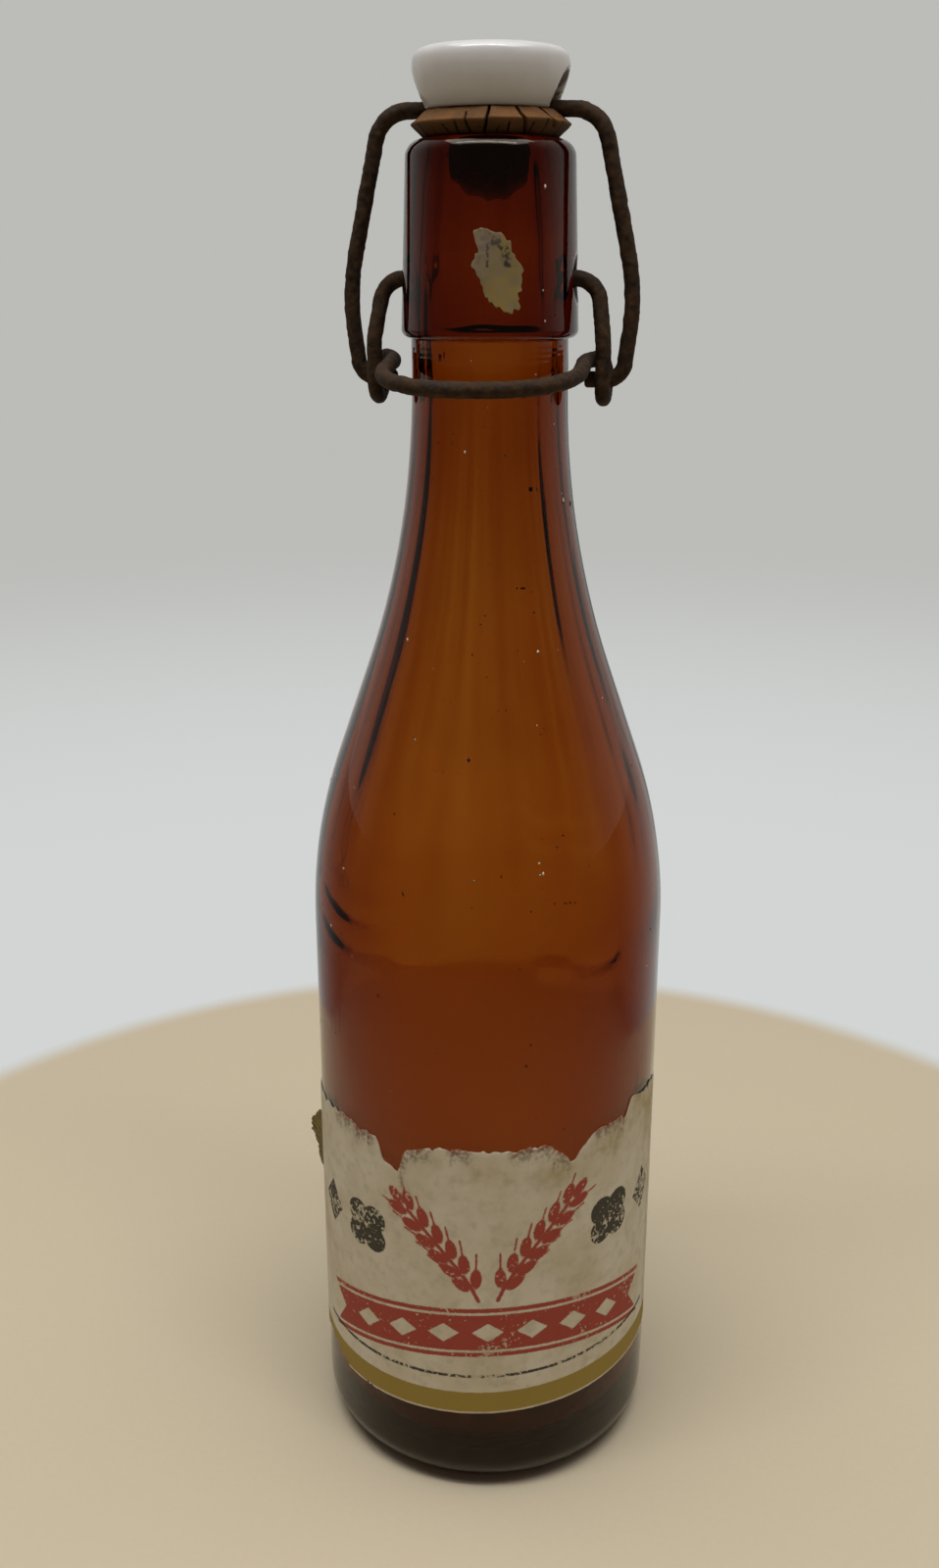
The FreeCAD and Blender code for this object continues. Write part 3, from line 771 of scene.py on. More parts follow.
def head_outline(sizes, levels):
    """Outline of the stopper from the tip of its plug to the top: cap, cone, bead, spigot, a
    bulging flare, a rim squarer than a quarter circle and a low dome."""
    head, washer = levels["head"], levels["washer"]
    tip = washer - PLUG_LENGTH
    tip_edge = (PLUG_TIP_RADIUS, tip + PLUG_TIP_HEIGHT)
    bead = (SPIGOT_RADIUS + BEAD_BULGE, washer - BEAD_DROP)
    rim = head + HEAD_FLARE_HEIGHT
    foot_edge = (HEAD_FOOT_RADIUS - HEAD_EDGE_ROUND, head)
    top_edge = (sizes.head_radius - HEAD_RIM_ROUND, rim + HEAD_RIM_ROUND)
    share = np.linspace(0, 1, 20, endpoint=False)
    widening = (sizes.head_radius - HEAD_FOOT_RADIUS) * share + FLARE_BULGE * share * (1 - share)
    climbing = HEAD_EDGE_ROUND + (HEAD_FLARE_HEIGHT - HEAD_EDGE_ROUND) * share
    lean = np.linspace(0, QUARTER, 30, endpoint=False)
    square_round = np.stack([np.cos(lean), np.sin(lean)], axis=-1) ** (2 / 3)
    return np.vstack([
        dome(tip_edge, tip, 8)[:0:-1],
        run(tip_edge, bead, 8),
        run(bead, (SPIGOT_RADIUS, washer), 4),
        run((SPIGOT_RADIUS, washer), (SPIGOT_RADIUS, head), 6),
        run((SPIGOT_RADIUS, head), foot_edge, 10),
        arc((foot_edge[0], head + HEAD_EDGE_ROUND), HEAD_EDGE_ROUND, -QUARTER, 0, 6),
        np.stack([HEAD_FOOT_RADIUS + widening, head + climbing], axis=-1),
        (top_edge[0], rim) + HEAD_RIM_ROUND * square_round,
        dome(top_edge, top_edge[1] + HEAD_DOME, 14),
    ])


def head_mesh(sizes, levels):
    """The stopper turned from its outline. On each side a cone about the bar flares outwards; where a
    ray from the axis enters that cone, from its quadratic, the surface turns in along it. The glaze's
    brown is strongest round that recess, where it is rust stain and painted shade, and on the plug it is
    painted shade; painted shade also darkens the foot of the head."""
    outline = head_outline(sizes, levels)
    head = levels["head"]
    even = np.linspace(-math.pi, math.pi, 216, endpoint=False)
    turn = (even + 0.3 * np.sin(2 * even))[None, :]
    radius, height = outline[:, :1], outline[:, 1:]
    foot, top = height[0, 0], height[-1, 0]
    slope = (BAR_FLARE_RADIUS - BAR_HOLE_RADIUS) / (sizes.head_radius - SPIGOT_RADIUS)
    side = np.abs(np.sin(turn))
    spread = BAR_HOLE_RADIUS - slope * SPIGOT_RADIUS
    rise = height - levels["bar"]
    square = np.cos(turn) ** 2 - (slope * side) ** 2
    middle = -2 * spread * slope * side
    rest = rise ** 2 - spread ** 2
    inside = square < -0.01
    square = np.where(inside, square, -0.01)
    entry = (-middle - np.sqrt(np.maximum(middle ** 2 - 4 * square * rest, 0))) / (2 * square)
    bottom = SPIGOT_RADIUS + 0.5 * MM
    entry = np.maximum(entry, bottom)
    entry = entry + 0.04 * (radius - bottom)
    cut = inside & (height >= head) & (radius > bottom)
    new_radius = np.where(cut, soft_least(radius + 0 * turn, np.where(inside, entry, 1), 0.8 * MM), radius)
    points = on_cylinder(new_radius, turn, height)
    points += 0.06 * MM * lumps(points, 5 * MM, 11)[..., None] * np.array([1, 1, 0])
    # Brown in the recess is partly rust stain and partly painted shade; round the hole it is rust stain
    recess = smooth_step(radius - new_radius, 0.06 * MM, 0.3 * MM)
    about = np.hypot(points[..., 1], rise)
    stain = np.maximum(recess, 0.6 * np.exp(-np.maximum(about - 4 * MM, 0) / (1.8 * MM)) * (side > 0.5))
    # Painted shade down the plug inside the mouth, darker towards the washer
    plug_shade_ramp = smooth_step(height, foot + 1 * MM, foot + 8 * MM)
    stain = np.maximum(stain, (0.4 + 1.2 * plug_shade_ramp) * (height < head))
    # Painted shade at the foot of the head, next to the washer
    painted_foot_shade = 0.55 * np.exp(-np.maximum(height - head, 0) / (1.1 * MM)) + 0 * turn
    mesh = ring_mesh("stopper_porcelain", points, [(0, 0, foot), (0, 0, top)])
    mark(mesh, "stain", np.append(stain.ravel(), (0.4, 0)))
    mark(mesh, "painted_foot_shade", np.append(painted_foot_shade.ravel(), (0.55, 0)))
    return mesh


# Cracks of the washer: turn from the front in degrees, half width and depth in mm, lowest and highest
# share of the way from its foot to its top that a crack covers, and its slant in degrees
FRONT_CRACKS = (
    (-64, 0.25, 0.9, -0.2, 0.55, 3), (-50, 0.16, 0.6, -0.2, 0.42, -2), (-38, 0.22, 0.8, -0.2, 0.5, -2),
    (-28, 0.28, 1.2, -0.2, 0.55, 2), (-19, 0.24, 1.0, -0.2, 0.85, -4), (-4.5, 0.36, 2.2, -0.2, 1.2, 5),
    (5, 0.14, 0.5, -0.2, 0.32, 2), (13, 0.22, 0.8, -0.2, 0.48, 1), (24, 0.36, 2.3, -0.2, 1.2, -6),
    (33, 0.22, 0.9, -0.2, 0.5, 3), (42, 0.24, 1.0, -0.2, 0.6, -2), (52, 0.6, 2.2, 0.25, 1.2, -14),
    (62, 0.24, 1.1, -0.2, 0.6, -2),
)
BACK_CRACKS = (
    (-80, 0.3, 1.6, -0.2, 1.2, 4), (80, 0.2, 0.8, -0.2, 0.5, 2), (97, 0.34, 2.0, -0.2, 1.2, -4),
    (112, 0.2, 0.7, -0.2, 0.45, 1), (128, 0.24, 1.0, -0.2, 0.55, -3), (149, 0.36, 2.2, -0.2, 1.2, 5),
    (163, 0.18, 0.6, -0.2, 0.4, 2), (178, 0.24, 0.9, -0.2, 0.6, -2), (196, 0.32, 1.9, 0.2, 1.2, -5),
    (213, 0.2, 0.8, -0.2, 0.5, 2), (229, 0.2, 0.8, -0.2, 0.5, -1), (247, 0.35, 2.1, -0.2, 1.2, 4),
    (262, 0.18, 0.6, -0.2, 0.4, 2),
)


def washer_mesh(sizes, levels):
    """The washer: a bevelled outline carried round Z, its edge swaying a little. Each crack is a notch
    with straight sides across the turn, sunk towards the axis; the cracks that go all the way leave pieces
    that shrink and sag apart. The bar's groove is a round channel pressed into the top."""
    foot, top = levels["washer"], levels["head"]
    bore = SPIGOT_RADIUS + WASHER_PLAY
    low_edge = (sizes.washer_radius - WASHER_EDGE_TRIM, foot + WASHER_EDGE_HEIGHT)
    corners = (
        (bore, foot), (WASHER_FOOT_RADIUS - WASHER_BEVEL[0], foot),
        (WASHER_FOOT_RADIUS, foot + WASHER_BEVEL[1]), low_edge, (low_edge[0], low_edge[1] + WASHER_EDGE_FLAT),
        (WASHER_TOP_RADIUS, top - 2 * WASHER_DISH), (bore, top - WASHER_DISH), (bore, foot))
    steps = (6, 3, 12, 3, 14, 8, 4)
    outline = np.vstack([run(*ends) for ends in zip(corners, corners[1:], steps)])
    turn = np.linspace(-math.pi, math.pi, 900, endpoint=False)[None, :]
    radius, height = outline[:, :1], outline[:, 1:]
    share = (height - foot) / (top - foot)
    points = on_cylinder(radius, turn, height)
    outward = smooth_step(radius, bore + 2 * MM, WASHER_FOOT_RADIUS)
    sway = 0.1 * np.sin(7 * turn + 1) + 0.07 * np.sin(17 * turn) + 0.09 * lumps(points, 1.6 * MM, 21) - 0.12
    # Painted shade: the lower bevel, which faces down, is darkened
    crack_and_underside_shade = 0.45 * (1 - smooth_step(share, 0.42, 0.58)) + 0 * turn
    sunk = np.zeros(points.shape[:2])
    piece = np.zeros(points.shape[:2], dtype=int)
    facing = within_half_turn(turn - LABEL_TURN)
    for middle, half_width, depth, low, high, slant in FRONT_CRACKS + BACK_CRACKS:
        bend = 1.2 * lumps(np.stack([share * 3, 0 * share + middle, 0 * share], axis=-1), 1, 4)
        centre = np.radians(middle + slant * (share - 0.4) + bend)
        apart = np.abs(within_half_turn(facing - centre)) * sizes.washer_radius
        reach = between(share, low, low + 0.15, high - 0.15, high)
        notch = np.clip(1 - apart / (half_width * MM), 0, 1) * reach
        sunk = np.maximum(sunk, notch * depth)
        # Painted shade inside each crack
        crack_and_underside_shade = np.maximum(crack_and_underside_shade, smooth_step(notch, 0.05, 0.6))
        if high > 1:
            piece += facing > within_half_turn(centre)
    settled = np.random.default_rng(23).uniform(-1, 0, piece.max() + 1)
    settled[-1] = settled[0]
    shrunk = 0.2 * settled[piece]
    sagged = 0.3 * settled[piece] * between(share, 0.1, 0.5, 0.6, 1)
    new_radius = radius + (sway + shrunk - sunk) * outward * MM
    points = on_cylinder(new_radius, turn, height + sagged * outward * MM)
    channel = BAR_HOLE_RADIUS ** 2 - points[..., 1] ** 2
    groove = levels["bar"] - np.sqrt(np.maximum(channel, 0))
    limit = np.where(channel > 0, np.clip(groove, foot, top), top)
    squeezed = foot + (height - foot) * (limit - foot) / (top - foot)
    points[..., 2] = np.where(radius > bore, np.minimum(points[..., 2], limit), squeezed)
    mesh = ring_mesh("washer_rubber", points)
    mark(mesh, "crack_and_underside_shade", crack_and_underside_shade * outward)
    return mesh


def bent_path(corners, step):
    """A path along straight runs joined by tangent bends, from corner points and bend radii: each bend
    is the arc that touches both runs. The path is then divided evenly by its length."""
    points = [np.array(point) for point, bend in corners]
    parts = [points[:1]]
    for before, (corner, bend), after in zip(points, corners[1:-1], points[2:]):
        corner = np.array(corner)
        arriving = (corner - before) / np.linalg.norm(corner - before)
        leaving = (after - corner) / np.linalg.norm(after - corner)
        half_turn = math.acos(np.clip(arriving @ leaving, -1, 1)) / 2
        inward = (leaving - arriving) / np.linalg.norm(leaving - arriving)
        onward = (leaving + arriving) / np.linalg.norm(leaving + arriving)
        centre = corner + inward * bend / math.cos(half_turn)
        lean = np.linspace(-half_turn, half_turn, 40)[:, None]
        parts.append(centre + bend * (np.sin(lean) * onward - np.cos(lean) * inward))
    parts.append(points[-1:])
    line = np.vstack(parts)
    whole = lengths_along(line)[-1]
    even = np.linspace(0, whole, int(whole / step) + 1)
    return points_along(line, even), even


def wire_mesh(name, corners, radius, seed):
    """A round section carried along a bent path, square to it, rounded off at both ends, its skin raised
    and pitted by two sizes of noise."""
    path, length = bent_path(corners, 0.25 * MM)
    path, length = path[1:-1], length[1:-1]
    along = np.gradient(path, axis=0)
    along /= np.linalg.norm(along, axis=1, keepdims=True)
    first = np.cross(along, (0.58, 0.55, 0.6))
    first /= np.linalg.norm(first, axis=1, keepdims=True)
    second = np.cross(along, first)
    turn = np.linspace(0, 2 * math.pi, 28, endpoint=False)[None, :, None]
    outward = np.cos(turn) * first[:, None] + np.sin(turn) * second[:, None]
    end = np.minimum(length, length[-1] + length[0] - length)
    cap = np.sqrt(1 - np.clip(1 - end / (0.8 * MM), 0, 1) ** 2)[:, None, None]
    smooth = path[:, None] + outward * radius
    skin = 0.08 * lumps(smooth, 1.6 * MM, seed) + 0.08 * lumps(smooth, 0.6 * MM, seed + 1) - 0.09
    points = path[:, None] + outward * (radius + skin[..., None] * MM) * cap
    poles = [path[0] - 0.1 * MM * along[0], path[-1] + 0.1 * MM * along[-1]]
    return ring_mesh(name, points, poles)


def both_sides(corners):
    """The corners of the right half of a wire, joined to the same corners on the left."""
    left = [((-point[0], point[1], point[2]), bend) for point, bend in corners]
    return corners + left[::-1]


def lever_corners(sizes, levels):
    """Corners and bends of the lever: pin, leg, eye, arm and the bow in front."""
    wire, pin, eye = sizes.wire_radius, levels["pin"], levels["eye"]
    spread = LIP_FOOT_RADIUS + LEVER_GAP + wire
    eye_radius = 2 * wire + EYE_PLAY
    pin_end = lip_radius_at(pin, levels) - DIMPLE_DEPTH + 0.5 * MM
    eye_front, eye_back, eye_foot = OVER_CENTRE - eye_radius, OVER_CENTRE + eye_radius, eye - eye_radius
    arm_height = eye + ARM_RISE
    arm_front = eye_back - ARM_RUN
    crown_corner = math.hypot(LIP_CROWN_RADIUS - LIP_CROWN_ROUND, DIMPLE_DROP - LIP_CROWN_ROUND)
    bow_swing = crown_corner + LIP_CROWN_ROUND + wire + BOW_CLEARANCE
    bow_front = -math.sqrt(bow_swing ** 2 - BOW_DROP ** 2)
    bow_slope = (arm_height - (pin - BOW_DROP)) / (OVER_CENTRE - bow_front)
    heights = [arm_height + bow_slope * (along - OVER_CENTRE) for along in (eye_back, arm_front, bow_front)]
    return both_sides([
        ((pin_end, 0, pin), 0),
        ((spread - wire, 0, pin), 4.5 * MM),
        ((spread, eye_front, pin - LEG_DROP), 8 * MM),
        ((spread, eye_front, eye_foot), eye_radius),
        ((spread, eye_back, eye_foot), eye_radius),
        ((spread, eye_back, heights[0]), 2.4 * MM),
        ((spread - eye_radius, arm_front, heights[1]), 5 * MM),
        ((spread - eye_radius, bow_front, heights[2]), 15 * MM),
    ])


def bail_corners(sizes, levels):
    """Corners and bends of the bail: hook, bulging side arm, shoulder and the bar through the stopper."""
    eye, bar = levels["eye"], levels["bar"]
    hook = LIP_FOOT_RADIUS + LEVER_GAP + 3 * sizes.wire_radius + EYE_PLAY
    bulge = eye + BULGE_RISE
    lean = OVER_CENTRE * (bar - bulge) / (bar - eye)
    return both_sides([
        ((hook - HOOK_LENGTH, OVER_CENTRE, eye), 0),
        ((hook, OVER_CENTRE, eye), 3.4 * MM),
        ((hook + BULGE_OUT, lean, bulge), 40 * MM),
        ((sizes.washer_radius + BAIL_SHOULDER, 0, bar), 6 * MM),
    ])


def oval(across, up, middle, half_sizes, lean):
    """Distance from the edge of a leaning oval, less than 0 inside, exact along its axes."""
    beside, above = across - middle[0], up - middle[1]
    along = beside * math.cos(lean) + above * math.sin(lean)
    over = above * math.cos(lean) - beside * math.sin(lean)
    return (np.hypot(along / half_sizes[0], over / half_sizes[1]) - 1) * min(half_sizes)


def stroke(across, up, start, end, half_width):
    """Distance from the edge of a straight stroke with round ends, less than 0 inside."""
    run_across, run_up = end[0] - start[0], end[1] - start[1]
    along = ((across - start[0]) * run_across + (up - start[1]) * run_up) / (run_across ** 2 + run_up ** 2)
    along = np.clip(along, 0, 1)
    return np.hypot(across - start[0] - along * run_across, up - start[1] - along * run_up) - half_width


def ahead(start, way, distance):
    """The place at a distance from a start, in a direction."""
    return start[0] + distance * math.cos(way), start[1] + distance * math.sin(way)


def red_print(across, up):
    """Red ribbon: a band about a shallow arch with swallow-tailed ends, two pale lines along it and a
    row of pale lozenges; then two barley ears, pairs of leaning ovals with whiskers up a curved stalk."""
    half_height, half_length, notch, pitch = 5.8, 40, 5, 9
    above = up - (14.5 + 5.5 * (1 - (across / 38) ** 2))
    tail = half_length - notch * (1 - np.abs(above) / half_height)
    band = np.maximum(np.abs(above) - half_height, np.abs(across) - tail)
    lines = np.abs(np.abs(above) - 4.5) - 0.3
    beside = (across + pitch / 2) % pitch - pitch / 2
    lozenges = (np.abs(beside) / 3.2 + np.abs(above) / 2.2 - 1) * 1.8
    lozenges = np.where(np.abs(across) < 31, lozenges, NO_INK)
    red = np.maximum(band, -np.minimum(lines, lozenges))
    grain, grain_out, grain_lean = (2.3, 1.15), 2.2, 0.42
    for side in (-1, 1):
        shares = np.linspace(0, 1, 7)
        knots = [(side * (1.9 + 14.5 * share ** 1.3), 27.6 + 19.5 * share) for share in shares]
        for start, end in zip(knots, knots[1:]):
            red = np.minimum(red, stroke(across, up, start, end, 0.4))
            heading = math.atan2(end[1] - start[1], end[0] - start[0])
            awn = 8.6 - 0.09 * end[1]
            for lean in (-grain_lean, grain_lean):
                way = heading + lean
                middle = ahead(end, way + lean, grain_out)
                red = np.minimum(red, oval(across, up, middle, grain, way))
                red = np.minimum(red, stroke(across, up, middle, ahead(middle, way, awn), 0.22))
        red = np.minimum(red, oval(across, up, ahead(knots[-1], heading, 3.6), grain, heading))
    return red


def black_print(across, up):
    """Black print: on each side a four-leaved flower of overlapping discs and a lozenge further out, and
    below the ribbon a fine line."""
    black = np.full(across.shape, NO_INK)
    for side in (-1, 1):
        for leaf in range(4):
            middle = ahead((side * 27, 39.5), (leaf + 0.5) * QUARTER, 3.2)
            black = np.minimum(black, np.hypot(across - middle[0], up - middle[1]) - 3)
        lozenge = (np.abs(across - side * 39.5) / 4.2 + np.abs(up - 39) / 5.2 - 1) * 3.2
        black = np.minimum(black, lozenge)
    rule = np.maximum(np.abs(up - 9.3) - 0.35, np.abs(across) - 43)
    return np.minimum(black, rule)


# Stretches of the label's tear that split the sheet and left grey fibres, in degrees from the front
SPLIT_STRETCHES = ((-62, -38), (-31, -17), (-15, -4), (5, 28), (35, 52))
# Yellowed stains on the label: turn in degrees, height up the label in mm, and their spread in both
LABEL_STAINS = ((-1, 57, 7, 2.5), (22, 55, 6, 2.5), (45, 57, 9, 4), (62, 62, 8, 5), (70, 57, 6, 8))


def label_mesh(sizes):
    """The label: upright strips round the body between a tilted foot and a torn top, which runs straight
    between the tear's corners, roughened by noise. Each strip goes down the front and back up behind.
    The front thins towards the tear and rises in two creases near its right end."""
    turn = np.radians(np.linspace(-90, 90, 400))
    degrees = np.degrees(turn)
    corners = np.array(LABEL_TORN_EDGE)
    share = np.interp(degrees, corners[:, 0], corners[:, 1])
    share = np.convolve(np.pad(share, 2, mode="edge"), np.ones(5) / 5, mode="valid")
    arc_length = sizes.body_radius * turn
    on_edge = np.stack([arc_length, 0 * turn, 0 * turn], axis=-1)
    split = np.max([between(degrees, low, low + 4, high - 4, high) for low, high in SPLIT_STRETCHES], axis=0)
    ragged = 0.45 * lumps(on_edge, 2.4 * MM, 31) + 0.4 * lumps(on_edge, 1.1 * MM, 32)
    ragged = ragged + (0.16 + 0.12 * split) * lumps(on_edge, 0.5 * MM, 38)
    top = LABEL_FOOT + share * sizes.label_height + (ragged - 0.8) * MM
    foot = LABEL_FOOT + LABEL_EDGE_RISE * np.sin(turn)
    corner_tear = 1.2 * smooth_step(-degrees, 56, 57.5) + 1.1 * smooth_step(-degrees, 62, 64)
    corner_tear = corner_tear * (1 + 0.35 * lumps(on_edge, 2 * MM, 34))
    nicks = 0.9 * bell(degrees, -45.2, 0.35) + 0.6 * bell(degrees, -43.3, 0.3)
    low = foot + (0.05 * lumps(on_edge, 0.9 * MM, 33) + 0.06 + corner_tear + nicks) * MM
    rows = 170
    middle_row = rows // 2
    climb = np.linspace(1, 0, rows)
    height = low[:, None] + (top - low)[:, None] * climb
    slope = np.gradient(top, arc_length)[:, None]
    tear = (top[:, None] - height) / np.sqrt(1 + slope ** 2) / MM
    across = np.broadcast_to(arc_length[:, None] / MM, height.shape)
    up = (height - foot[:, None]) / MM
    around = degrees[:, None]
    points = on_cylinder(sizes.body_radius, turn[:, None], height)
    crease_at = around + 1.1 * lumps(points, 6 * MM, 36)
    crease = 0.08 * bell(crease_at, 73, 0.5) + 0.06 * bell(crease_at, 76.5, 0.5)
    feather = 0.09 * (1 - smooth_step(tear, 0, 0.8))
    raised = np.clip(crease + 0.025 * lumps(points, 7 * MM, 37) - feather, -0.1, 0.11) * MM
    spun = turn[:, None] + LABEL_TURN
    front = on_cylinder(sizes.body_radius + PAPER_FRONT + raised, spun, height)
    back = on_cylinder(sizes.body_radius + PAPER_BACK, spun, height[:, [-1, 0]])
    poles = [(front[end, middle_row] + back[end, 0] + back[end, 1]) / 3 for end in (0, -1)]
    mesh = ring_mesh("label_paper", np.hstack([front, back]), poles)
    stain = sum(bell(around, middle, wide) * bell(up, rise, tall)
                for middle, rise, wide, tall in LABEL_STAINS)
    # Painted shadow: a dark line in the black ink along the lifted torn edge near the right end
    curled_edge_shadow = np.where((around > 56) & (around < 72), tear - 0.3, NO_INK)
    # Painted shade: dark lines in the black ink along the two creases
    crease_shade_lines = np.minimum(np.abs(crease_at - 74.2), np.abs(crease_at - 77.6)) * 0.6 - 0.16
    marks = {
        "red": red_print(across, up),
        # The black mark is the print together with the painted shadow lines above
        "black": np.minimum(black_print(across, up), np.minimum(curled_edge_shadow, crease_shade_lines)),
        "ochre": np.maximum(up - 5.3, 0.5 - up),
        "fringe": np.maximum(split[:, None] * (1 - smooth_step(tear, 0.4, 3.8)), 0.5 - 1.2 * tear),
        "film": split[:, None] * (1 - smooth_step(tear, 0, 1.3)),
        "stain": np.clip(0.7 * stain, 0, 1),
    }
    for name, values in marks.items():
        at_poles = values[[0, -1], middle_row]
        mark(mesh, name, np.append(np.hstack([values, values[:, [-1, 0]]]).ravel(), at_poles))
    return mesh


def flap_mesh(sizes):
    """The loose end of the label: a sheet that leaves the glass along a tangent and curls outwards on an
    oval, ribbed aslant. How far it reaches at each height makes a leaf above and a narrow strip below."""
    outline = np.array(FLAP_OUTLINE)
    rise = np.linspace(outline[0, 0], 1, 120)[:, None]
    height = LABEL_FOOT + FLAP_RISE + FLAP_HEIGHT * rise
    along = np.linspace(0, 1, 30)[None, :]
    edge_points = np.stack([0 * rise, 0 * rise, height], axis=-1)
    ragged = 0.94 + 0.06 * lumps(edge_points, 0.9 * MM, 41) + 0.05 * lumps(edge_points, 0.35 * MM, 42)
    reach = np.clip(np.interp(rise, outline[:, 0], outline[:, 1]) * ragged, 0.03, 1) * FLAP_REACH
    curl = reach * along
    ribs = np.sin((height / MM - 3.5 * curl) * 4.6 + 0.6 * np.sin(height / MM * 1.3))

    def curled(offset):
        """The curl at a distance outside the label's own circle."""
        circle = FLAP_CURL - offset - 0.05 * MM * ribs * along
        sideways = -(sizes.body_radius + FLAP_GAP) - FLAP_CURL + circle * np.cos(curl)
        backwards = FLAP_OVAL * circle * np.sin(curl) - FLAP_FORWARD
        spin_cos, spin_sin = math.cos(LABEL_TURN), math.sin(LABEL_TURN)
        return np.stack([sideways * spin_cos - backwards * spin_sin,
                         sideways * spin_sin + backwards * spin_cos,
                         height + 0 * curl], axis=-1)

    front, back = curled(0.05 * MM), curled(-0.08 * MM)
    mesh = sheet_mesh("label_flap", front[:, ::-1], back[:, ::-1])
    far = np.full(curl.shape, NO_INK)
    marks = {"red": far, "black": 0.3 - 0.5 * ribs, "ochre": far, "stain": 0.6 + 0 * far}
    for name, values in marks.items():
        turned_round = values[:, ::-1]
        mark(mesh, name, np.concatenate([turned_round, turned_round]))
    return mesh


def scrap_mesh(levels):
    """The scrap on the lip ring: rings between a point inside and an outline that runs straight between
    its corners, roughened by noise, wrapped on the ring's taper; out along the back, in along the front."""
    corners = np.array(SCRAP_OUTLINE)
    middle = levels["lip_top"] - SCRAP_DROP
    radius = lip_radius_at(middle, levels)
    outline = np.stack([radius * np.radians(corners[:, 0]), SCRAP_HEIGHT * corners[:, 1]], axis=-1)
    centre = np.array([1 * MM, 0])
    closed = np.vstack([outline, outline[:1]])
    even = np.linspace(0, lengths_along(closed)[-1], 260, endpoint=False)
    border = points_along(closed, even)[::-1]
    border = (np.roll(border, 3, axis=0) + np.roll(border, -3, axis=0) + border) / 3
    places = np.column_stack([border, 0 * even])
    ragged = 0.91 + 0.06 * lumps(places, 1.5 * MM, 51) + 0.07 * lumps(places, 0.7 * MM, 52)
    border = centre + (border - centre) * ragged[:, None]
    flat = centre + (border - centre) * np.linspace(0, 1, 29)[1:, None, None]
    tear = np.min(np.linalg.norm(flat[:, :, None] - border[None, None, ::2], axis=-1), axis=-1) / MM

    def wrapped(places, offset):
        """Flat places laid round the taper of the lip ring, an offset above its glass."""
        height = middle + places[..., 1]
        ring = lip_radius_at(height, levels) + offset
        return on_cylinder(ring, places[..., 0] / radius + LABEL_TURN, height)

    lift = 0.09 * np.exp(-tear / 0.7) * (0.5 + 0.5 * lumps(np.dstack([flat, 0 * tear]), 2 * MM, 53))
    lift = np.clip(lift, 0, 0.1) * MM
    back = wrapped(flat, PAPER_BACK + 0.6 * lift)
    front = wrapped(flat, PAPER_FRONT + lift)
    poles = [wrapped(centre, PAPER_BACK), wrapped(centre, PAPER_FRONT)]
    mesh = ring_mesh("lip_ring_scrap", np.concatenate([back, front[::-1]]), poles)
    across, up = flat[..., 0] / MM, flat[..., 1] / MM
    torn_band = np.abs(tear - 1.3 - 0.3 * np.sin(up * 1.7)) - 0.75
    patches = lumps(np.dstack([flat, 0 * tear]), 1.8 * MM, 54)
    marks = {
        "red": np.full(tear.shape, NO_INK),
        "black": np.where((across > -1) & (up > 0.5), torn_band, NO_INK),
        "ochre": np.full(tear.shape, NO_INK),
        "fringe": 0.9 * smooth_step(up - 2.2 * across + 2 * patches, 0, 8),
        "stain": np.clip(0.3 + 0.5 * patches + 0.3 * smooth_step(across - up, -4, 5), 0, 1),
    }
    for name, values in marks.items():
        last = values[0, 0]
        mark(mesh, name, np.append(np.concatenate([values, values[::-1]]).ravel(), (last, last)))
    return mesh


class SWINGTOP_OT_glass(bpy.types.Operator):
    """Turns the amber glass bottle with its dimples and mould seams"""
    bl_idname = "swingtop.glass"
    bl_label = "Glass bottle"

    def execute(self, context):
        sizes = context.scene.bottle_sizes
        colours = context.scene.bottle_colours
        levels = bottle_levels(sizes)
        place(glass_mesh(sizes, levels), amber_glass(colours), "bottle", "amber_glass", "glass_bottle")
        place(speck_mesh(sizes, levels), settled_dust(colours), "bottle", "amber_glass")
        return {"FINISHED"}


class SWINGTOP_OT_stopper(bpy.types.Operator):
    """Turns the porcelain stopper with its plug and the recess for the wire"""
    bl_idname = "swingtop.stopper"
    bl_label = "Porcelain stopper"

    def execute(self, context):
        sizes = context.scene.bottle_sizes
        mesh = head_mesh(sizes, bottle_levels(sizes))
        place(mesh, glazed_porcelain(context.scene.bottle_colours), "stopper", "porcelain", "stopper_head")
        return {"FINISHED"}


class SWINGTOP_OT_washer(bpy.types.Operator):
    """Makes the cracked rubber washer"""
    bl_idname = "swingtop.washer"
    bl_label = "Rubber washer"

    def execute(self, context):
        sizes = context.scene.bottle_sizes
        mesh = washer_mesh(sizes, bottle_levels(sizes))
        mesh.set_sharp_from_angle(angle=math.radians(50))
        finish = perished_rubber(context.scene.bottle_colours)
        place(mesh, finish, "stopper", "perished_rubber", "sealing_washer")
        return {"FINISHED"}


class SWINGTOP_OT_wires(bpy.types.Operator):
    """Bends the two rusty wires, the bail and the lever"""
    bl_idname = "swingtop.wires"
    bl_label = "Rusty wires"

    def execute(self, context):
        sizes = context.scene.bottle_sizes
        levels = bottle_levels(sizes)
        finish = rusted_steel(context.scene.bottle_colours)
        bail = wire_mesh("bail_wire", bail_corners(sizes, levels), sizes.wire_radius, 61)
        lever = wire_mesh("lever_wire", lever_corners(sizes, levels), sizes.wire_radius, 63)
        place(bail, finish, "bail", "rusty_wire", "wire_bail")
        place(lever, finish, "lever", "rusty_wire", "wire_lever")
        return {"FINISHED"}


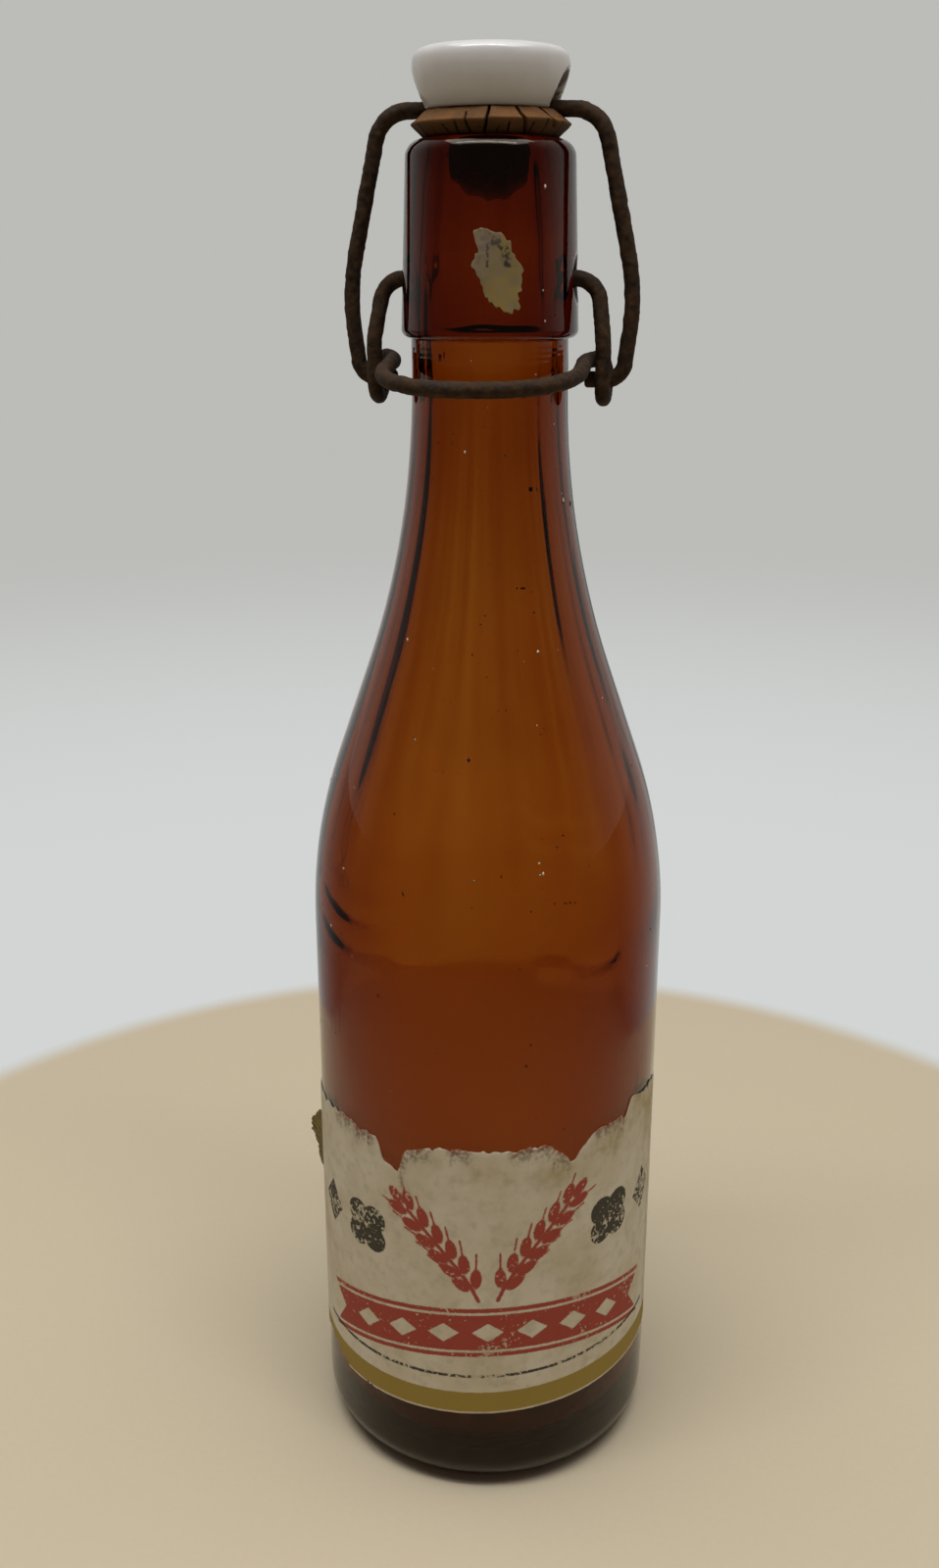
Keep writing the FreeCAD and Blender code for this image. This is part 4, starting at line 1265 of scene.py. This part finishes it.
class SWINGTOP_OT_paper(bpy.types.Operator):
    """Lays on the torn label, its loose flap and the scrap on the lip ring"""
    bl_idname = "swingtop.paper"
    bl_label = "Torn paper"

    def execute(self, context):
        sizes = context.scene.bottle_sizes
        colours = context.scene.bottle_colours
        sheet = aged_paper("aged_label_paper", colours.paper, colours)
        grimy = aged_paper("grimy_label_paper", linear("#85765a"), colours)
        place(label_mesh(sizes), sheet, "bottle", "aged_paper", "body_label")
        place(flap_mesh(sizes), grimy, "bottle", "aged_paper")
        place(scrap_mesh(bottle_levels(sizes)), grimy, "bottle", "aged_paper", "neck_label_scrap")
        return {"FINISHED"}


def mirrored_rays(tree):
    """1 for rays that a surface mirrors, and 0 for those that went through glass or come straight."""
    path = add(tree, "LightPath").outputs
    return add(tree, "Math", {0: path["Is Glossy Ray"], 1: path["Is Transmission Ray"]},
               operation="SUBTRACT", use_clamp=True)


def shown_rays(tree):
    """1 for rays that see the room itself: from the camera, off gloss and through glass."""
    path = add(tree, "LightPath").outputs
    seen = add(tree, "Math", {0: path["Is Camera Ray"], 1: path["Is Glossy Ray"]}, operation="MAXIMUM")
    return add(tree, "Math", {0: seen, 1: path["Is Transmission Ray"]}, operation="MAXIMUM")


def room_colour(tree, direction, back, spread):
    """The room round the object, pale behind it and dimmer in front, by the way a direction points. The
    spread is how far backwards it points where the dim ends and where the pale starts."""
    backwards = add(tree, "SeparateXYZ", {0: direction}).outputs["Y"]
    behind = add(tree, "MapRange", {"Value": backwards, "From Min": spread[0], "From Max": spread[1]},
                 interpolation_type="SMOOTHSTEP")
    room = add(tree, "Mix", {0: behind, 6: linear(ROOM_FRONT), 7: linear(back)}, data_type="RGBA")
    return room, behind


def studio_floor(colours):
    """A pale matt floor that keeps the shadow near the object and turns, further out, into the room. What
    the object mirrors of that room is narrower."""
    material = empty_material("studio_floor")
    tree = material.node_tree
    place_on = add(tree, "TexCoord").outputs["Object"]
    # A faint grain of about 1.4 mm
    grain = add(tree, "TexNoise", {"Vector": place_on, "Scale": 0.7 / MM, "Detail": 3})
    dim = dimmed(colours.floor, 0.95, 0.95, 0.95)
    colour = add(tree, "Mix", {0: grain, 6: dim, 7: tuple(colours.floor)}, data_type="RGBA")
    matt = add(tree, "BsdfDiffuse", {"Color": colour})
    way = add(tree, "VectorMath", {0: place_on}, operation="NORMALIZE").outputs["Vector"]
    away = add(tree, "VectorMath", {0: place_on}, operation="LENGTH").outputs["Value"]
    near_room, behind = room_colour(tree, way, ROOM_NEAR, WIDE_ROOM)
    far_room, _ = room_colour(tree, way, ROOM_BACK, WIDE_ROOM)
    narrow_room, _ = room_colour(tree, way, ROOM_BACK, NARROW_ROOM)
    wall = add(tree, "MapRange", {"Value": away, "From Min": 0.3, "From Max": 1.1},
               interpolation_type="SMOOTHSTEP")
    seen_room = add(tree, "Mix", {0: wall, 6: near_room, 7: far_room}, data_type="RGBA")
    room = add(tree, "Mix", {0: mirrored_rays(tree), 6: seen_room, 7: narrow_room}, data_type="RGBA")
    glow = add(tree, "Emission", {"Color": room, "Strength": 1.0})
    start = add(tree, "MapRange", {"Value": behind, "To Min": 0.13, "To Max": 0.196})
    end = add(tree, "MapRange", {"Value": behind, "To Min": 0.34, "To Max": 0.208})
    fade = add(tree, "MapRange", {"Value": away, "From Min": start, "From Max": end},
               interpolation_type="SMOOTHSTEP")
    amount = add(tree, "Math", {0: fade, 1: shown_rays(tree)}, operation="MULTIPLY")
    surface = add(tree, "MixShader", {0: amount, 1: matt, 2: glow})
    add(tree, "OutputMaterial", {"Surface": surface})
    return material


def studio_world():
    """Soft room light: a room that is seen, mirrored and looked at through glass as it is, and gives
    everything else a weaker light of the same lie."""
    world = bpy.data.worlds.new("studio_room")
    world.use_nodes = True
    tree = world.node_tree
    tree.nodes.clear()
    direction = add(tree, "TexCoord").outputs["Generated"]
    room, _ = room_colour(tree, direction, ROOM_BACK, WIDE_ROOM)
    strength = add(tree, "MapRange", {"Value": shown_rays(tree), "To Min": ROOM_LIGHT})
    glow = add(tree, "Background", {"Color": room, "Strength": strength})
    add(tree, "OutputWorld", {"Surface": glow})
    return world


def floor_mesh():
    """The floor: flat rings about the origin, quads between them and one face inside the first."""
    turn = np.linspace(0, 2 * math.pi, FLOOR_SIDES, endpoint=False)[None, :]
    reach = np.array(FLOOR_RINGS)[:, None]
    points = np.stack(np.broadcast_arrays(reach * np.cos(turn), reach * np.sin(turn), 0 * turn), axis=-1)
    index = np.arange(reach.size * FLOOR_SIDES).reshape(-1, FLOOR_SIDES)
    quads = grid_faces(np.hstack([index, index[:, :1]]))[:, ::-1]
    mesh = bpy.data.meshes.new("studio_floor")
    mesh.from_pydata(points.reshape(-1, 3).tolist(), [], quads.tolist() + [index[0].tolist()])
    return mesh


def soft_lamp(name, size, watts, start, target):
    """An oblong soft box at one point that faces another."""
    data = bpy.data.lights.new(name, "AREA")
    data.shape = "RECTANGLE"
    data.size, data.size_y = size
    data.energy = watts
    lamp = bpy.data.objects.new(name, data)
    lamp.location = start
    lamp.rotation_euler = (Vector(target) - Vector(start)).to_track_quat("-Z", "Y").to_euler()
    bpy.context.scene.collection.objects.link(lamp)


class SWINGTOP_OT_stage(bpy.types.Operator):
    """Sets up the floor, the room, the lamps and the camera"""
    bl_idname = "swingtop.stage"
    bl_label = "Stage"

    def execute(self, context):
        scene = context.scene
        mesh = floor_mesh()
        mesh.materials.append(studio_floor(scene.bottle_colours))
        floor = bpy.data.objects.new("studio_floor", mesh)
        scene.collection.objects.link(floor)
        scene.world = studio_world()
        soft_lamp("overhead_softbox", (1.0, 0.6), 5.6, (0, -0.1, 1.0), (0, 0, 0.1))
        soft_lamp("overhead_strip", (0.7, 0.05), 2.1, (0, -0.2, 0.9), (0, 0, 0.1))
        view = bpy.data.cameras.new("photo_view")
        view.lens = CAMERA_LENS
        view.clip_start = 0.01
        camera = bpy.data.objects.new("photo_view", view)
        camera.location = CAMERA_PLACE
        level = math.cos(CAMERA_PITCH)
        way = Vector((-math.sin(CAMERA_TURN) * level, math.cos(CAMERA_TURN) * level, -math.sin(CAMERA_PITCH)))
        camera.rotation_euler = way.to_track_quat("-Z", "Y").to_euler()
        scene.collection.objects.link(camera)
        scene.camera = camera
        scene.view_settings.view_transform = "Standard"
        return {"FINISHED"}


class SWINGTOP_PT_panel(bpy.types.Panel):
    """Sizes, colours and the steps that build the bottle"""
    bl_idname = "SWINGTOP_PT_panel"
    bl_label = "Swing Top Bottle"
    bl_space_type = "VIEW_3D"
    bl_region_type = "UI"
    bl_category = "Swing Top"

    def draw(self, context):
        for group in (context.scene.bottle_sizes, context.scene.bottle_colours):
            box = self.layout.box()
            for name in group.bl_rna.properties.keys():
                if name not in ("rna_type", "name"):
                    box.prop(group, name)
        for step in STEPS:
            self.layout.operator(step.bl_idname)


STEPS = (
    SWINGTOP_OT_glass,
    SWINGTOP_OT_stopper,
    SWINGTOP_OT_washer,
    SWINGTOP_OT_wires,
    SWINGTOP_OT_paper,
    SWINGTOP_OT_stage,
)
CLASSES = (BottleSizes, BottleColours, *STEPS, SWINGTOP_PT_panel)


def register():
    """Makes the sizes, colours, steps and panel known to Blender."""
    for kind in CLASSES:
        bpy.utils.register_class(kind)
    bpy.types.Scene.bottle_sizes = bpy.props.PointerProperty(type=BottleSizes)
    bpy.types.Scene.bottle_colours = bpy.props.PointerProperty(type=BottleColours)


def unregister():
    """Takes back what register did."""
    del bpy.types.Scene.bottle_colours
    del bpy.types.Scene.bottle_sizes
    for kind in reversed(CLASSES):
        bpy.utils.unregister_class(kind)


def main():
    """Builds every piece and the stage."""
    register()
    bpy.ops.swingtop.glass()
    bpy.ops.swingtop.stopper()
    bpy.ops.swingtop.washer()
    bpy.ops.swingtop.wires()
    bpy.ops.swingtop.paper()
    bpy.ops.swingtop.stage()


if __name__ == "__main__":
    main()
